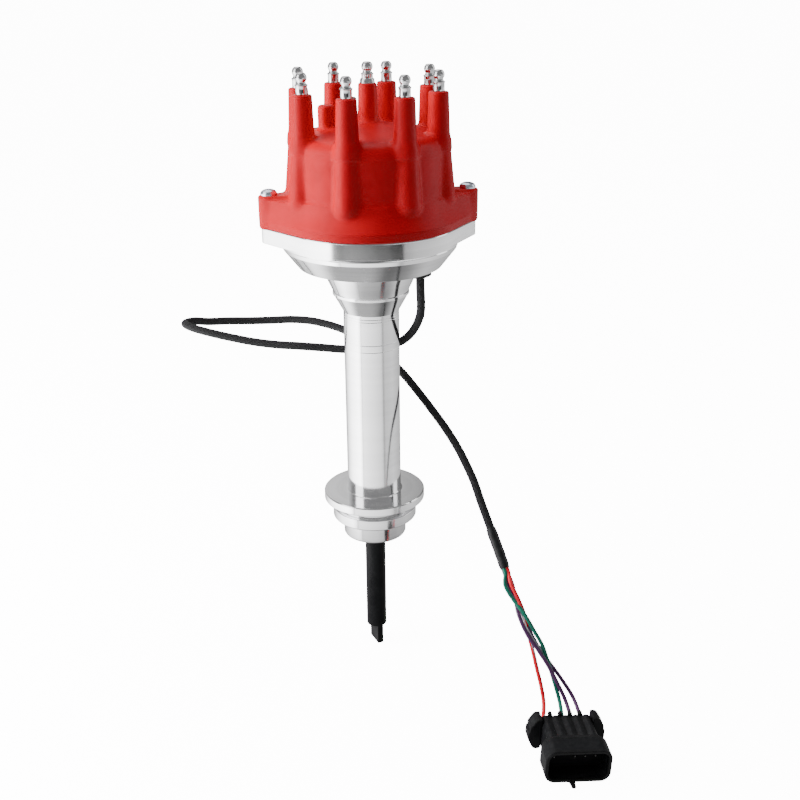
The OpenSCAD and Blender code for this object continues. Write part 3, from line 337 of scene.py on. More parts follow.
ALUMINIUM = turned_metal("turned_aluminium", (0.80, 0.80, 0.81), (0.90, 0.90, 0.91), 0.13)
BRONZE = turned_metal("oil_bronze", (0.50, 0.25, 0.14), (0.72, 0.42, 0.27), 0.34)
BLACK_STEEL = mottled("black_oxide", (0.007, 0.007, 0.008), (0.015, 0.015, 0.016), 0.38, scale=160, shine=0.12)
RED_MOULD = mottled("red_moulding", (0.56, 0.001, 0.007), (0.64, 0.002, 0.010), 0.42, scale=90, grain=0.000012,
                    shine=0.15)
CHROME = mottled("polished_terminal", (0.52, 0.52, 0.53), (0.64, 0.64, 0.65), 0.09, metal=1.0, scale=500,
                 grain=0.000004)
ZINC = mottled("blue_zinc", (0.55, 0.62, 0.72), (0.74, 0.78, 0.84), 0.24, metal=1.0, scale=700, grain=0.00001)
BRAID = woven_sleeve("black_braid")
SHRINK = mottled("shrunk_sleeve", (0.005, 0.005, 0.006), (0.010, 0.010, 0.011), 0.42, scale=400, grain=0.00003,
                 shine=0.3)
RUBBER = mottled("black_rubber", (0.006, 0.006, 0.006), (0.012, 0.012, 0.013), 0.55, scale=500, shine=0.25)
NYLON = mottled("black_nylon", (0.006, 0.006, 0.007), (0.012, 0.012, 0.013), 0.40, scale=350, grain=0.00002, shine=0.12)
RED_WIRE = striped_insulation("red_insulation", (0.80, 0.002, 0.02), (0.80, 0.74, 0.76))
GREEN_WIRE = striped_insulation("green_insulation", (0.0, 0.16, 0.10))
VIOLET_WIRE = striped_insulation("violet_insulation", (0.085, 0.026, 0.10))
VIOLET_WHITE_WIRE = striped_insulation("violet_white_insulation", (0.085, 0.026, 0.10), (0.66, 0.60, 0.68))
SILICONE = mottled("blue_silicone", (0.02, 0.05, 0.12), (0.03, 0.08, 0.18), 0.5)
# The pins' tin is painted dark grey as painted shade, for pins that sit deep in the shroud's shade.
SHADE_DARK_TIN = mottled("dull_tin", (0.10, 0.10, 0.10), (0.16, 0.16, 0.16), 0.45, metal=1.0)
HIDDEN = {
    "bearing_outer_race": turned_metal("race_steel", (0.60, 0.61, 0.63), (0.74, 0.75, 0.77), 0.15),
    "bearing_balls": mottled("ball_steel", (0.70, 0.71, 0.73), (0.82, 0.83, 0.85), 0.08, metal=1.0),
    "bearing_cage": mottled("cage_brass", (0.55, 0.40, 0.14), (0.75, 0.58, 0.25), 0.3, metal=1.0),
    "bearing_shields": mottled("shield_steel", (0.30, 0.31, 0.33), (0.42, 0.43, 0.45), 0.35, metal=1.0),
    "trigger_wheel": turned_metal("wheel_steel", (0.48, 0.49, 0.51), (0.62, 0.63, 0.65), 0.3),
    "sensor_board": mottled("potting", (0.01, 0.03, 0.02), (0.02, 0.06, 0.04), 0.3),
    "sensor_leads": mottled("lead_insulation", (0.30, 0.01, 0.01), (0.42, 0.02, 0.02), 0.4),
    "rotor_blade": mottled("contact_brass", (0.60, 0.45, 0.18), (0.80, 0.62, 0.30), 0.25, metal=1.0),
    "centre_brush": mottled("carbon", (0.02, 0.02, 0.02), (0.04, 0.04, 0.04), 0.6),
}
for twin, first in (("bearing_inner_race", "bearing_outer_race"), ("bearing_retaining_ring", "bearing_shields"),
                    ("shaft_retaining_rings", "bearing_shields"), ("rotor_base", "trigger_wheel"),
                    ("rotor_base_pin", "bearing_balls"), ("rotor_contact_spring", "rotor_blade"),
                    ("plug_contacts", "rotor_blade"), ("brush_spring", "bearing_shields")):
    HIDDEN[twin] = HIDDEN[first]
HIDDEN.update({"hall_sensors": NYLON, "sensor_screws": ZINC, "rotor_screws": ZINC, "rotor": RED_MOULD,
               "trigger_set_screw": BLACK_STEEL})

# ---------------------------------------------------------------- shared making

def plain_mesh(name, points, faces):
    """A mesh from points in millimetres."""
    mesh = bpy.data.meshes.new(name)
    mesh.from_pydata([tuple(MM * c for c in p) for p in points], [], faces)
    return mesh


def mount(name, mesh, material, body, nodes=()):
    """The object of a finished mesh, riding on its body in place of its CAD nodes."""
    mesh.materials.clear()
    mesh.materials.append(material)
    piece = linked(name, mesh)
    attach(piece, body)
    if nodes:
        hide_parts(*nodes)
    return piece


def settle(name, mesh, material, body, nodes=(), sharp=35.0):
    """Welds a mesh, turns its faces outwards, shades it smooth up to an angle and mounts it."""
    shape = bmesh.new()
    shape.from_mesh(mesh)
    bmesh.ops.remove_doubles(shape, verts=shape.verts, dist=0.000002)
    bmesh.ops.recalc_face_normals(shape, faces=shape.faces)
    shape.to_mesh(mesh)
    shape.free()
    mesh.shade_smooth()
    mesh.set_sharp_from_angle(angle=math.radians(sharp))
    return mount(name, mesh, material, body, nodes)


def place(name, points, faces, material, body, nodes=(), slot=None, sharp=35.0):
    """One finished piece from points in millimetres, riding on its body."""
    return settle(name, plain_mesh(name, points, faces), material, body, nodes, sharp)


def skin_faces(rings, around, loop=False):
    """Faces between rings of points, with a face at each end unless the rings close into a loop."""
    faces = []
    for i in range(rings if loop else rings - 1):
        j = (i + 1) % rings
        faces += [(i * around + k, i * around + (k + 1) % around, j * around + (k + 1) % around, j * around + k)
                  for k in range(around)]
    if not loop:
        faces += [tuple(range(around))[::-1], tuple((rings - 1) * around + k for k in range(around))]
    return faces


FILLET_STEPS, FILLET_GUARD = 4, 0.12


def soften(profile):
    """A closed or open profile of (r, z) or (r, z, fillet) points, each fillet drawn as a short arc. A guard point
    beside each arc keeps the flat next to it flat."""
    out = []
    count = len(profile)
    for i, point in enumerate(profile):
        here = np.array(point[:2], float)
        fillet = point[2] if len(point) > 2 else 0
        if not fillet:
            out.append(tuple(here))
            continue
        before = np.array(profile[i - 1][:2], float)
        after = np.array(profile[(i + 1) % count][:2], float)
        a, b = before - here, after - here
        la, lb = np.linalg.norm(a), np.linalg.norm(b)
        a, b = a / la, b / lb
        half = math.acos(max(-1.0, min(1.0, float(a @ b)))) / 2
        reach = min(fillet / math.tan(half), 0.45 * la, 0.45 * lb)
        radius = reach * math.tan(half)
        middle = here + (a + b) / np.linalg.norm(a + b) * (radius / math.sin(half))
        start, end = here + a * reach - middle, here + b * reach - middle
        a0, a1 = math.atan2(start[1], start[0]), math.atan2(end[1], end[0])
        sweep = (a1 - a0 + math.pi) % (2 * math.pi) - math.pi
        if la - reach > 3 * FILLET_GUARD:
            out.append(tuple(here + a * (reach + FILLET_GUARD)))
        for k in range(FILLET_STEPS + 1):
            t = a0 + sweep * k / FILLET_STEPS
            out.append((middle[0] + radius * math.cos(t), middle[1] + radius * math.sin(t)))
        if lb - reach > 3 * FILLET_GUARD:
            out.append(tuple(here + b * (reach + FILLET_GUARD)))
    return out


def arc(r0, z0, radius, first, last, steps=10):
    """Points of an arc about (r0, z0), in degrees."""
    turns = [math.radians(first + (last - first) * k / steps) for k in range(steps + 1)]
    return [(r0 + radius * math.cos(a), z0 + radius * math.sin(a)) for a in turns]


def turn_profile(profile, around=128, centre=(0, 0)):
    """Points and faces of a closed profile turned about a vertical axis. Points on the axis become poles."""
    points, faces, rings = [], [], []
    for r, z in profile:
        if r < 1e-6:
            rings.append([len(points)] * around)
            points.append((centre[0], centre[1], z))
        else:
            rings.append(list(range(len(points), len(points) + around)))
            for k in range(around):
                a = 2 * math.pi * k / around
                points.append((centre[0] + r * math.cos(a), centre[1] + r * math.sin(a), z))
    count = len(profile)
    for i in range(count):
        low, high = rings[i], rings[(i + 1) % count]
        if low[0] == low[1] and high[0] == high[1]:
            continue
        for k in range(around):
            n = (k + 1) % around
            corners = [low[k], low[n], high[n], high[k]]
            faces.append(tuple(c for j, c in enumerate(corners) if c != corners[j - 1]))
    return points, faces


def turned(name, profile, material, body, nodes=(), slot=None, around=128, centre=(0, 0)):
    points, faces = turn_profile(soften(profile), around, centre)
    return place(name, points, faces, material, body, nodes, slot)


def rotated(x, y, angle):
    """A flat point, or arrays of them, turned about the origin."""
    c, s = math.cos(angle), math.sin(angle)
    return x * c - y * s, x * s + y * c


def join_pieces(*shells):
    points, faces = [], []
    for p, f in shells:
        base = len(points)
        points += list(p)
        faces += [tuple(base + i for i in face) for face in f]
    return points, faces


def smooth_route(route, step=1.3):
    """Points close together on one smooth curve through the route's points."""
    route = [Vector(p) for p in route]
    ends = [2 * route[0] - route[1]] + route + [2 * route[-1] - route[-2]]
    out = []
    for i in range(1, len(ends) - 2):
        p0, p1, p2, p3 = ends[i - 1:i + 3]
        pieces = max(2, round((p2 - p1).length / step))
        for k in range(pieces):
            t = k / pieces
            out.append(0.5 * ((2 * p1) + (p2 - p0) * t + (2 * p0 - 5 * p1 + 4 * p2 - p3) * t * t
                              + (3 * p1 - p0 - 3 * p2 + p3) * t ** 3))
    out.append(route[-1])
    return out


def tube(name, line, radius, sides, material, body, nodes, swell=None):
    """A closed tube on a line of points, with a UV map of length in millimetres and share of a turn."""
    points, marks = [], []
    normal, run = None, 0.0
    for i, here in enumerate(line):
        ahead = (line[min(i + 1, len(line) - 1)] - line[max(i - 1, 0)]).normalized()
        if normal is None:
            normal = ahead.orthogonal().normalized()
        normal = (normal - ahead * normal.dot(ahead)).normalized()
        other = ahead.cross(normal)
        if i:
            run += (here - line[i - 1]).length
        r = radius * (swell(run) if swell else 1.0)
        for k in range(sides):
            a = 2 * math.pi * k / sides
            points.append(here + normal * (r * math.cos(a)) + other * (r * math.sin(a)))
        marks.append(run)
    mesh = plain_mesh(name, points, skin_faces(len(line), sides))
    uv = mesh.uv_layers.new(name="along")
    spots = [(marks[i + ahead], (k + aside) / sides) for i in range(len(line) - 1) for k in range(sides)
             for ahead, aside in ((0, 0), (0, 1), (1, 1), (1, 0))]
    spots += [(0, 0)] * (len(mesh.loops) - len(spots))
    uv.data.foreach_set("uv", np.array(spots, dtype=np.float32).ravel())
    piece = settle(name, mesh, material, body, nodes, sharp=50)
    return piece, run


def ring_of_copies(name, pattern, count, radius, turn, material, body, nodes):
    """Geometry Nodes set copies of a pattern piece on the points of a circle, and make them one mesh."""
    tree = bpy.data.node_groups.new(name + "_ring", "GeometryNodeTree")
    face = tree.interface
    face.new_socket("Geometry", in_out="INPUT", socket_type="NodeSocketGeometry")
    sockets = {}
    for label, kind, value in (("Count", "Int", count), ("Circle radius", "Float", radius * MM),
                               ("Turn", "Float", math.radians(turn)), ("Pattern", "Object", pattern),
                               ("Finish", "Material", material)):
        sockets[face.new_socket(label, in_out="INPUT", socket_type="NodeSocket" + kind).identifier] = value
    face.new_socket("Geometry", in_out="OUTPUT", socket_type="NodeSocketGeometry")
    given = tree.nodes.new("NodeGroupInput").outputs
    angle = fed(tree, "ShaderNodeCombineXYZ", {"Z": given["Turn"]})
    ring = fed(tree, "GeometryNodeMeshCircle", {"Vertices": given["Count"], "Radius": given["Circle radius"]},
               fill_type="NONE")
    ring = fed(tree, "GeometryNodeTransform", {"Geometry": ring, "Rotation": angle})
    piece = fed(tree, "GeometryNodeObjectInfo", {"Object": given["Pattern"]}, "Geometry", transform_space="ORIGINAL")
    copies = fed(tree, "GeometryNodeInstanceOnPoints", {"Points": ring, "Instance": piece})
    copies = fed(tree, "GeometryNodeRealizeInstances", {"Geometry": copies})
    copies = fed(tree, "GeometryNodeSetMaterial", {"Geometry": copies, "Material": given["Finish"]})
    tree.links.new(copies, tree.nodes.new("NodeGroupOutput").inputs[0])
    holder = linked(name + "_holder", bpy.data.meshes.new(name + "_holder"))
    modifier = holder.modifiers.new("ring", "NODES")
    modifier.node_group = tree
    for identifier, value in sockets.items():
        modifier[identifier] = value
    shape = holder.evaluated_get(bpy.context.evaluated_depsgraph_get())
    mesh = bpy.data.meshes.new_from_object(shape)
    mesh.name = name
    for spare in (holder, pattern):
        bpy.data.objects.remove(spare)
    return settle(name, mesh, material, body, nodes)


# ---------------------------------------------------------------- cable and wires

CABLE = [(25.17, -25.17, 146.8), (25.17, -25.17, 140.3), (26, -22, 126), (25.5, -14, 116), (23, -4, 106),
         (18.5, 8, 97), (10, 18, 91), (-1, 22, 89), (-14, 25, 88), (-28, 27.5, 89), (-42, 30, 90), (-56, 35, 90),
         (-70, 40, 91), (-85, 46, 93), (-98, 52, 95), (-107, 59, 96), (-111, 66, 96), (-111, 73, 95),
         (-106, 79, 94), (-97, 82.5, 92), (-84, 85, 91), (-70, 86, 90), (-56, 85, 90), (-42, 81, 91),
         (-28, 74, 91), (-13, 63, 89), (-2, 50, 86), (9, 36, 81), (20, 22, 73), (29, 12, 63), (37, 3, 53),
         (43.5, -6, 44.5), (49, -15.5, 36), (53, -24, 28), (56.5, -32, 19.5), (59, -40, 10.5), (61, -45.5, 4),
         (63, -51, -2.5)]
SLEEVE = [(63, -51, -2.5), (65, -56.5, -9), (67, -62, -15.5), (68.5, -67, -21)]
WIRES = {
    "wire_red_white": (3, RED_WIRE, "wire_red", [
        (70.5, -75, -27), (74, -80, -35), (77.5, -82, -45), (79, -86.5, -55), (80.5, -90.5, -62.5), (82, -96.5, -72),
        (83.5, -101.5, -80.5), (84, -107, -89)]),
    "wire_green": (2, GREEN_WIRE, "wire_green", [
        (67.5, -73, -29), (71.5, -78, -36), (76.5, -84.5, -42), (82, -88.5, -52), (86, -92, -59.5), (89, -96, -69.5),
        (91.5, -100, -79), (93.5, -107, -89)]),
    "wire_violet": (1, VIOLET_WIRE, "wire_violet", [
        (72.5, -71, -30.5), (73.5, -74.5, -38.5), (74, -82, -44.5), (77.5, -89, -53), (82, -93, -59.5),
        (87.5, -98, -68), (92, -101.5, -77), (97, -107, -88.5)]),
    "wire_violet_white": (0, VIOLET_WHITE_WIRE, "wire_violet_white", [
        (70, -71, -31), (74.5, -74.5, -39.5), (77, -79.5, -46), (80, -87, -53.5), (84, -90.5, -61),
        (90.5, -93.5, -71), (96, -98.5, -78.5), (102, -106, -88)]),
}
CONNECTOR_TILT, CONNECTOR_TURN = math.radians(3), math.radians(-2)
CONNECTOR_AT = Vector((90.2, -157, Z_TIP + 12.5 * math.sin(CONNECTOR_TILT) + 0.05))
PITCH, WAYS, WIRED, WAY_Z = 5.8, 5, (0, 2, 3, 4), 10.15
# The cords' radii as drawn; the wires are drawn thicker than their real 1.9 mm, which they declare
CABLE_R, SLEEVE_R, WIRE_R = 2.5, 3.1, 1.18


def way_x(k):
    """Where a way of the connector lies across it; the second of the five is empty."""
    return (k - 2) * PITCH


def at_connector(x, y, z):
    """A point given in the connector's own frame: X across, Y to the back, Z up."""
    x, z = rotated(x, z, -CONNECTOR_TILT)
    return CONNECTOR_AT + Vector((*rotated(x, y, CONNECTOR_TURN), z))


def make_cords(connector):
    """The braided cable from the bowl's grommet, its end sleeve, and the four wires to the connector."""
    line = smooth_route(CABLE)
    cable, run = tube("braided_cable", line, CABLE_R, 28, BRAID, HOUSING, ["pickup_cable"])
    lead = smooth_route(SLEEVE, 0.8)
    total = sum((b - a).length for a, b in zip(lead, lead[1:]))

    def shrunk(at):
        end = min(at, total - at)
        return 0.90 + 0.10 * min(1.0, end / 2.5) ** 0.6 - 0.02 * math.sin(at * 1.1)

    sleeve, _ = tube("end_sleeve", lead, SLEEVE_R, 32, SHRINK, HOUSING, ["cable_end_sleeve"], swell=shrunk)
    ahead = (Vector(SLEEVE[-1]) - Vector(SLEEVE[-2])).normalized()
    across = (Vector((1, 0, 0)) - ahead * ahead.x).normalized()
    other = ahead.cross(across)
    for order, (name, (spot, finish, slot, route)) in enumerate(WIRES.items()):
        offset = across * (-1 if spot % 2 == 0 else 1) + other * (-1 if spot < 2 else 1)
        start = Vector(SLEEVE[-1]) + offset
        x = way_x(WIRED[order])
        points = [start - ahead * 1.0, start, start + ahead * 3] + [Vector(p) for p in route]
        points += [at_connector(x, 37, WAY_Z), at_connector(x, 29, WAY_Z)]
        wire_line = smooth_route(points, 0.9)
        wire, length = tube(name + "_lead", wire_line, WIRE_R, 16, finish, HOUSING, [name])


# ---------------------------------------------------------------- housing and shaft

def eared_reach(angle, main, ear):
    """How far an outline with two ears reaches at an angle: a circle, an ear's arc, or the line between."""
    tip = math.acos((main - ear) / EAR_X)
    swing = abs((angle + math.pi / 2) % math.pi - math.pi / 2)
    touch = math.atan2(ear * math.sin(tip), EAR_X + ear * math.cos(tip))
    if swing >= tip:
        return main
    if swing >= touch:
        return main / math.cos(tip - swing)
    return EAR_X * math.cos(swing) + math.sqrt(max(0.0, ear ** 2 - (EAR_X * math.sin(swing)) ** 2))


def outline_angles(main, ear):
    """Angles close together round the ears and evenly spaced elsewhere."""
    tip = math.acos((main - ear) / EAR_X)
    near = [tip * (k / 26) ** 1.25 for k in range(1, 27)]
    far = [tip + (math.pi / 2 - tip) * k / 30 for k in range(1, 31)]
    quarter = near + far
    half = [0.0] + quarter + [math.pi - a for a in quarter[-2::-1]]
    return half + [math.pi + a for a in half]


def make_housing():
    """One turned shell: nose, pilot, clamp flange, barrel, two cones, bowl and band with its two ears."""
    ear_low = Z_PART - 8.9
    fine_rings = [(16.4 - depth, z + shift) for z in (99.0, 103.2, 117.4, 119.0)
                  for shift, depth in ((-0.5, 0), (-0.2, 0), (0, 0.05), (0.2, 0), (0.5, 0))]
    outer = [(7.73, Z_NOSE_END, 0.3), (18.8, Z_NOSE_END, 0.4), (19.3, Z_NOSE_END + 0.9, 0.4), (19.3, Z_NOSE, 0.25),
             (25.2, Z_NOSE, 0.4), (25.83, Z_NOSE + 0.7, 0.3), (25.83, Z_PILOT, 0.3), (23, Z_PILOT, 0.3), (23, 0, 0.3),
             (31, 0, 0.35), (31, FLANGE_H - 0.6, 0.3), (30.4, FLANGE_H, 0.3), (16.4, FLANGE_H, 0.8),
             *fine_rings, (16.4, Z_CONE, 1.2), (22, Z_STEP, 0.2), (22.4, Z_STEP, 0.25), (22.4, Z_UPPER, 0.25),
             (22.0, Z_UPPER, 0.2), (29.2, Z_BOWL, 0.8), (41.5, Z_BOWL, 0.5), (49.8, Z_BEVEL, 0.4),
             (BAND_R, Z_BAND, 0.3)]
    inner = [(BOWL_R, Z_PART, 0.3), (BOWL_R, 159.6, 1.0), (40.2, 152.0, 0.5), (18.3, 152.0, 0.4), (18.3, 157.1, 0.4),
             (14.33, 157.1, 0.3), (14.33, 146.5), (8.5, 146.5, 0.3), (8.5, -6.0), (7.73, -6.0)]
    low = soften(outer + inner)
    turn_up = max(i for i, p in enumerate(low) if p[1] < Z_BAND + 0.5 and p[0] > 49)
    angles = outline_angles(BAND_R, BAND_EAR_R)
    rings = [(p[1], [p[0]] * len(angles)) for p in low[:turn_up + 1]]

    def eared(z, ear, main=BAND_R):
        rings.append((z, [eared_reach(a, main, ear) for a in angles]))

    rings.append((ear_low, [BAND_R] * len(angles)))
    for z, ear in ((ear_low, 4.6), (ear_low + 0.12, 4.85), (ear_low + 0.4, BAND_EAR_R), (ear_low + 0.8, BAND_EAR_R),
                   (Z_PART - 0.7, BAND_EAR_R), (Z_PART - 0.35, BAND_EAR_R)):
        eared(z, ear)
    eared(Z_PART - 0.1, 4.9, BAND_R - 0.1)
    eared(Z_PART, 4.65, BAND_R - 0.35)
    rings += [(p[1], [p[0]] * len(angles)) for p in low[turn_up + 1:]]
    points = [(r * math.cos(a), r * math.sin(a), z) for z, reach in rings for a, r in zip(angles, reach)]
    faces = skin_faces(len(rings), len(angles), loop=True)
    place("turned_housing", points, faces, ALUMINIUM, HOUSING, ["housing"], "machined_aluminium", sharp=28)


def make_shaft():
    """The ground shaft with its drive tang: a flat blade with chamfered end corners."""
    body = turn_profile(soften([(0, Z_SHOULDER), (6.35, Z_SHOULDER, 0.6), (6.35, Z_SHAFT, 0.3), (6.3, Z_SHAFT),
                                (6.3, 177.0), (5.7, 177.6), (0, 177.6)]), 96)
    turn, half_blade, arc_points = math.radians(107), 1.9, 9
    edges = ((5.5, 1.55, Z_TIP), (5.9, 1.8, Z_TIP + 0.35), (6.25, half_blade, Z_TIP + 0.9),
             (6.3, half_blade, Z_SHOULDER + 0.3))
    points = []
    for r, half, z in edges:
        swing = math.asin(half / r)
        for base in (0, math.pi):
            for k in range(arc_points):
                a = base - swing + 2 * swing * k / (arc_points - 1)
                points.append((*rotated(r * math.cos(a), r * math.sin(a), turn), z))
    both = join_pieces(body, (points, skin_faces(len(edges), 2 * arc_points)))
    place("ground_shaft", *both, BLACK_STEEL, SHAFT, ["drive_shaft"], "black_steel", sharp=30)


def make_bush():
    """The plain bronze bush in the housing's nose."""
    turned("bronze_bush", [(6.35, -26.0, 0.3), (7.7, -26.0, 0.4), (7.7, -6.0, 0.2), (6.35, -6.0, 0.2)],
           BRONZE, HOUSING, ["lower_bushing"], "bronze")


# ---------------------------------------------------------------- cap

def span(a, b):
    return np.sqrt(a ** 2 + b ** 2)


def blend_in(a, b, width):
    """The union of two solids with a soft fillet between them."""
    h = np.clip(width - np.abs(a - b), 0, None) / width
    return np.minimum(a, b) - h * h * width / 4


def blend_edge(a, b, width):
    """The overlap of two solids with a softened edge."""
    return -blend_in(-a, -b, width)


def eared_distance(x, y, main, ear):
    """Distance to an outline of one circle and two ears with straight sides between."""
    px, py = np.abs(y), np.abs(x)
    b = (main - ear) / EAR_X
    a = np.sqrt(1 - b * b)
    k = -b * px + a * py
    tip = span(px, py - EAR_X) - ear
    return np.where(k < 0, span(px, py) - main, np.where(k > a * EAR_X, tip, a * px + b * py - main))


def round_corner(a, b, radius):
    """Distance to the corner between two sides, rounded."""
    return np.minimum(np.maximum(a, b), 0) + span(np.clip(a, 0, None), np.clip(b, 0, None)) - radius


def slab(plan, z, low, high, edge):
    """A plan drawn up between two heights, with rounded edges."""
    top = np.abs(z - (low + high) / 2) - (high - low) / 2 + edge
    return round_corner(top, plan + edge, edge)


def cap_distance(x, y, z):
    """Signed distance to the moulded cap, in millimetres."""
    r = span(x, y)
    wall_r = 44.3 - 0.3 * np.clip((z - Z_RIM) / (Z_WALL - Z_RIM), 0, 1)
    deck = (z - (229.0 - 6.5 * np.clip((r - 5.9) / 32.1, 0, 1.2))) * 0.98
    solid = blend_edge(r - wall_r, deck, 7.5)
    solid = np.maximum(solid, Z_PART - z)
    rise = np.clip((z - Z_RIM) / (Z_SKIRT - Z_RIM), -0.2, 1.3)
    skirt = eared_distance(x, y, RIM_R - 6.7 * rise, RIM_EAR_R) * 0.86
    skirt = np.maximum(skirt, np.maximum(z - Z_SKIRT, Z_RIM - 1 - z))
    solid = blend_in(solid, skirt, 4.5)
    solid = np.minimum(solid, slab(eared_distance(x, y, RIM_R, RIM_EAR_R), z, Z_PART, Z_RIM, 0.6))
    ear_y, ear_x = np.abs(y), np.clip(np.abs(x), 41, EAR_X)
    ear = slab(span(np.abs(x) - ear_x, ear_y) - 5.3, z, Z_PART, Z_EAR, 0.8)
    solid = blend_in(solid, ear, 3.2)
    lean = math.radians(3.7)
    for turn in TOWER_TURNS:
        out, across = rotated(x, y, -math.radians(turn))
        off, along = rotated(out - RIB_FOOT_R, z - Z_RIB, -lean)
        aside = span(off, across)
        rib = np.where(along < 0, span(aside, along), aside) - RIB_R + RIB_TAPER * np.clip(along, 0, 40)
        solid = blend_in(solid, blend_edge(rib, along - RIB_LENGTH, 3.0), 2.2)
        near = span(out - TOWER_R, across)
        tower = blend_edge(near - 6.55 + 1.05 * np.clip((z - Z_WALL) / (Z_TOWER - Z_WALL), 0, 1), z - Z_TOWER, 0.9)
        solid = blend_in(solid, np.maximum(tower, Z_WALL - z), 3.0)
    coil = r - (5.9 - 0.8 * np.clip((z - Z_DECK) / (Z_COIL - Z_DECK), 0, 1))
    coil = np.maximum(blend_edge(coil, z - Z_COIL, 0.9), Z_DECK - z)
    solid = blend_in(solid, coil, 3.4)
    for turn, top in zip(VENT_TURNS, (Z_VENT, Z_FILTER)):
        a = math.radians(turn)
        near = span(x - VENT_R * math.cos(a), y - VENT_R * math.sin(a))
        boss = np.maximum(blend_edge(near - BOSS_R, z - top, 1.8), Z_WALL - z)
        solid = blend_in(solid, boss, 2.4)
    solid = np.minimum(solid, np.maximum(r - BOWL_R + 0.05, np.abs(z - (Z_PART - 1) - 0.5) - 1.5))
    inner_r = 41.3 - 0.3 * np.clip((z - Z_SKIRT) / 21, 0, 1)
    ceiling = (z - (224.0 - 6.5 * np.clip((r - 6) / 31, 0, 1.2))) * 0.98
    hollow = blend_edge(r - inner_r, ceiling, 6)
    return np.maximum(solid, -hollow)


def surface_net(field, low, step):
    """One vertex in each cell that the surface crosses, and a quad across each crossed grid edge."""
    inside = field < 0
    shape = field.shape
    total = np.zeros(tuple(s - 1 for s in shape) + (3,))
    hits = np.zeros(tuple(s - 1 for s in shape))
    corner = [(i, j, k) for i in (0, 1) for j in (0, 1) for k in (0, 1)]
    cut = lambda c: tuple(slice(c[d], shape[d] - 1 + c[d]) for d in range(3))
    for a in corner:
        for axis in range(3):
            if a[axis]:
                continue
            b = tuple(1 if d == axis else a[d] for d in range(3))
            fa, fb = field[cut(a)], field[cut(b)]
            crossed = (fa < 0) != (fb < 0)
            share = np.where(crossed, fa / np.where(crossed, fa - fb, 1), 0)
            for d in range(3):
                total[..., d] += np.where(crossed, a[d] + (share if d == axis else 0), 0)
            hits += crossed
    live = hits > 0
    number = np.full(hits.shape, -1)
    number[live] = np.arange(live.sum())
    cells = np.argwhere(live)
    points = (cells + total[live] / hits[live][:, None]) * step + low
    faces = []
    for axis in range(3):
        u, v = (axis + 1) % 3, (axis + 2) % 3
        spots = np.argwhere(np.diff(inside, axis=axis))
        ok = (spots[:, u] > 0) & (spots[:, v] > 0) & (spots[:, u] < shape[u] - 1) & (spots[:, v] < shape[v] - 1)
        spots = spots[ok]
        quad = []
        for du, dv in ((-1, -1), (0, -1), (0, 0), (-1, 0)):
            cell = spots.copy()
            cell[:, u] += du
            cell[:, v] += dv
            quad.append(number[tuple(cell.T)])
        quad = np.stack(quad, 1)
        leaving = inside[tuple(spots.T)]
        quad[~leaving] = quad[~leaving][:, ::-1]
        faces.append(quad)
    return points, np.concatenate(faces)


def slope(distance, points, h=0.05):
    g = np.empty_like(points)
    for d in range(3):
        shift = np.zeros(3)
        shift[d] = h
        g[:, d] = (distance(*(points + shift).T) - distance(*(points - shift).T)) / (2 * h)
    return g


def moulded(name, distance, low, high, step, material, nodes, put=None):
    """A moulding whose surface is where a signed distance is nought, with the field's own slopes as normals."""
    step, low, high = np.array(step), np.array(low), np.array(high)
    counts = np.ceil((high - low) / step).astype(int) + 1
    x, y, z = (low[d] + step[d] * np.arange(counts[d]) for d in range(3))
    field = distance(*np.meshgrid(x, y, z, indexing="ij"))
    points, faces = surface_net(field, low, step)
    for _ in range(4):
        g = slope(distance, points)
        d = distance(*points.T)
        move = -g * (d / np.maximum((g * g).sum(1), 0.25))[:, None]
        points = points + np.clip(move, -0.6, 0.6)
    g = slope(distance, points, 0.12)
    g /= np.maximum(np.linalg.norm(g, axis=1), 1e-6)[:, None]
    if put:
        tips = put(points + g)
        points = put(points)
        g = tips - points
    mesh = bpy.data.meshes.new(name)
    mesh.from_pydata((points * MM).tolist(), [], faces.tolist())
    mesh.shade_smooth()
    mesh.normals_split_custom_set_from_vertices(g.tolist())
    return mount(name, mesh, material, HOUSING, nodes)


def make_cap():
    """The red cap as one moulding: skirt, wall, ribs that run up into the towers, deck and bosses."""
    moulded("moulded_cap", cap_distance, (-63.5, -53, Z_PART - 4), (63.5, 53, Z_COIL + 2.5), (0.9, 0.9, 1.05),
            RED_MOULD, ["cap"])


def terminal_profile(base, foot):
    """A lead terminal from its seat up: shank, bead, waist and a ball with a broad flat top."""
    return (foot + [(SHANK_R, base + 4.3)] + arc(SHANK_R - 0.2, base + 4.85, 0.5, -60, 75, 6)
            + [(2.7, base + 5.6), (2.45, base + 6.1), (2.42, base + 6.5)]
            + arc(0, base + 8.7, 3.15, -39, 50, 14) + [(1.8, base + 11.25), (1.2, base + 11.3), (0, base + 11.3)])


def make_terminals():
    """Eight ball-ended plug terminals in their ring, and the coil terminal with its collar."""
    foot = [(0, Z_TOWER - 4), (2.2, Z_TOWER - 4), (2.2, Z_TOWER), (2.9, Z_TOWER), (3.2, Z_TOWER + 0.3)]
    mesh = plain_mesh("terminal_pattern", *turn_profile(terminal_profile(Z_TOWER, foot), 48))
    ring_of_copies("plug_studs", linked("terminal_pattern", mesh), TOWERS, TOWER_R, FIRST_TOWER, CHROME, HOUSING,
                   ["plug_terminals"])
    collar = [(0, Z_COIL - 4), (2.5, Z_COIL - 4), (2.5, Z_COIL), (4.25, Z_COIL, 0.2), (3.9, Z_COIL + 2.4, 0.5),
              (3.2, Z_COIL + 2.5)]
    turned("coil_stud", terminal_profile(Z_COIL, collar), CHROME, HOUSING, ["coil_terminal"], "terminal_chrome",
           around=64)


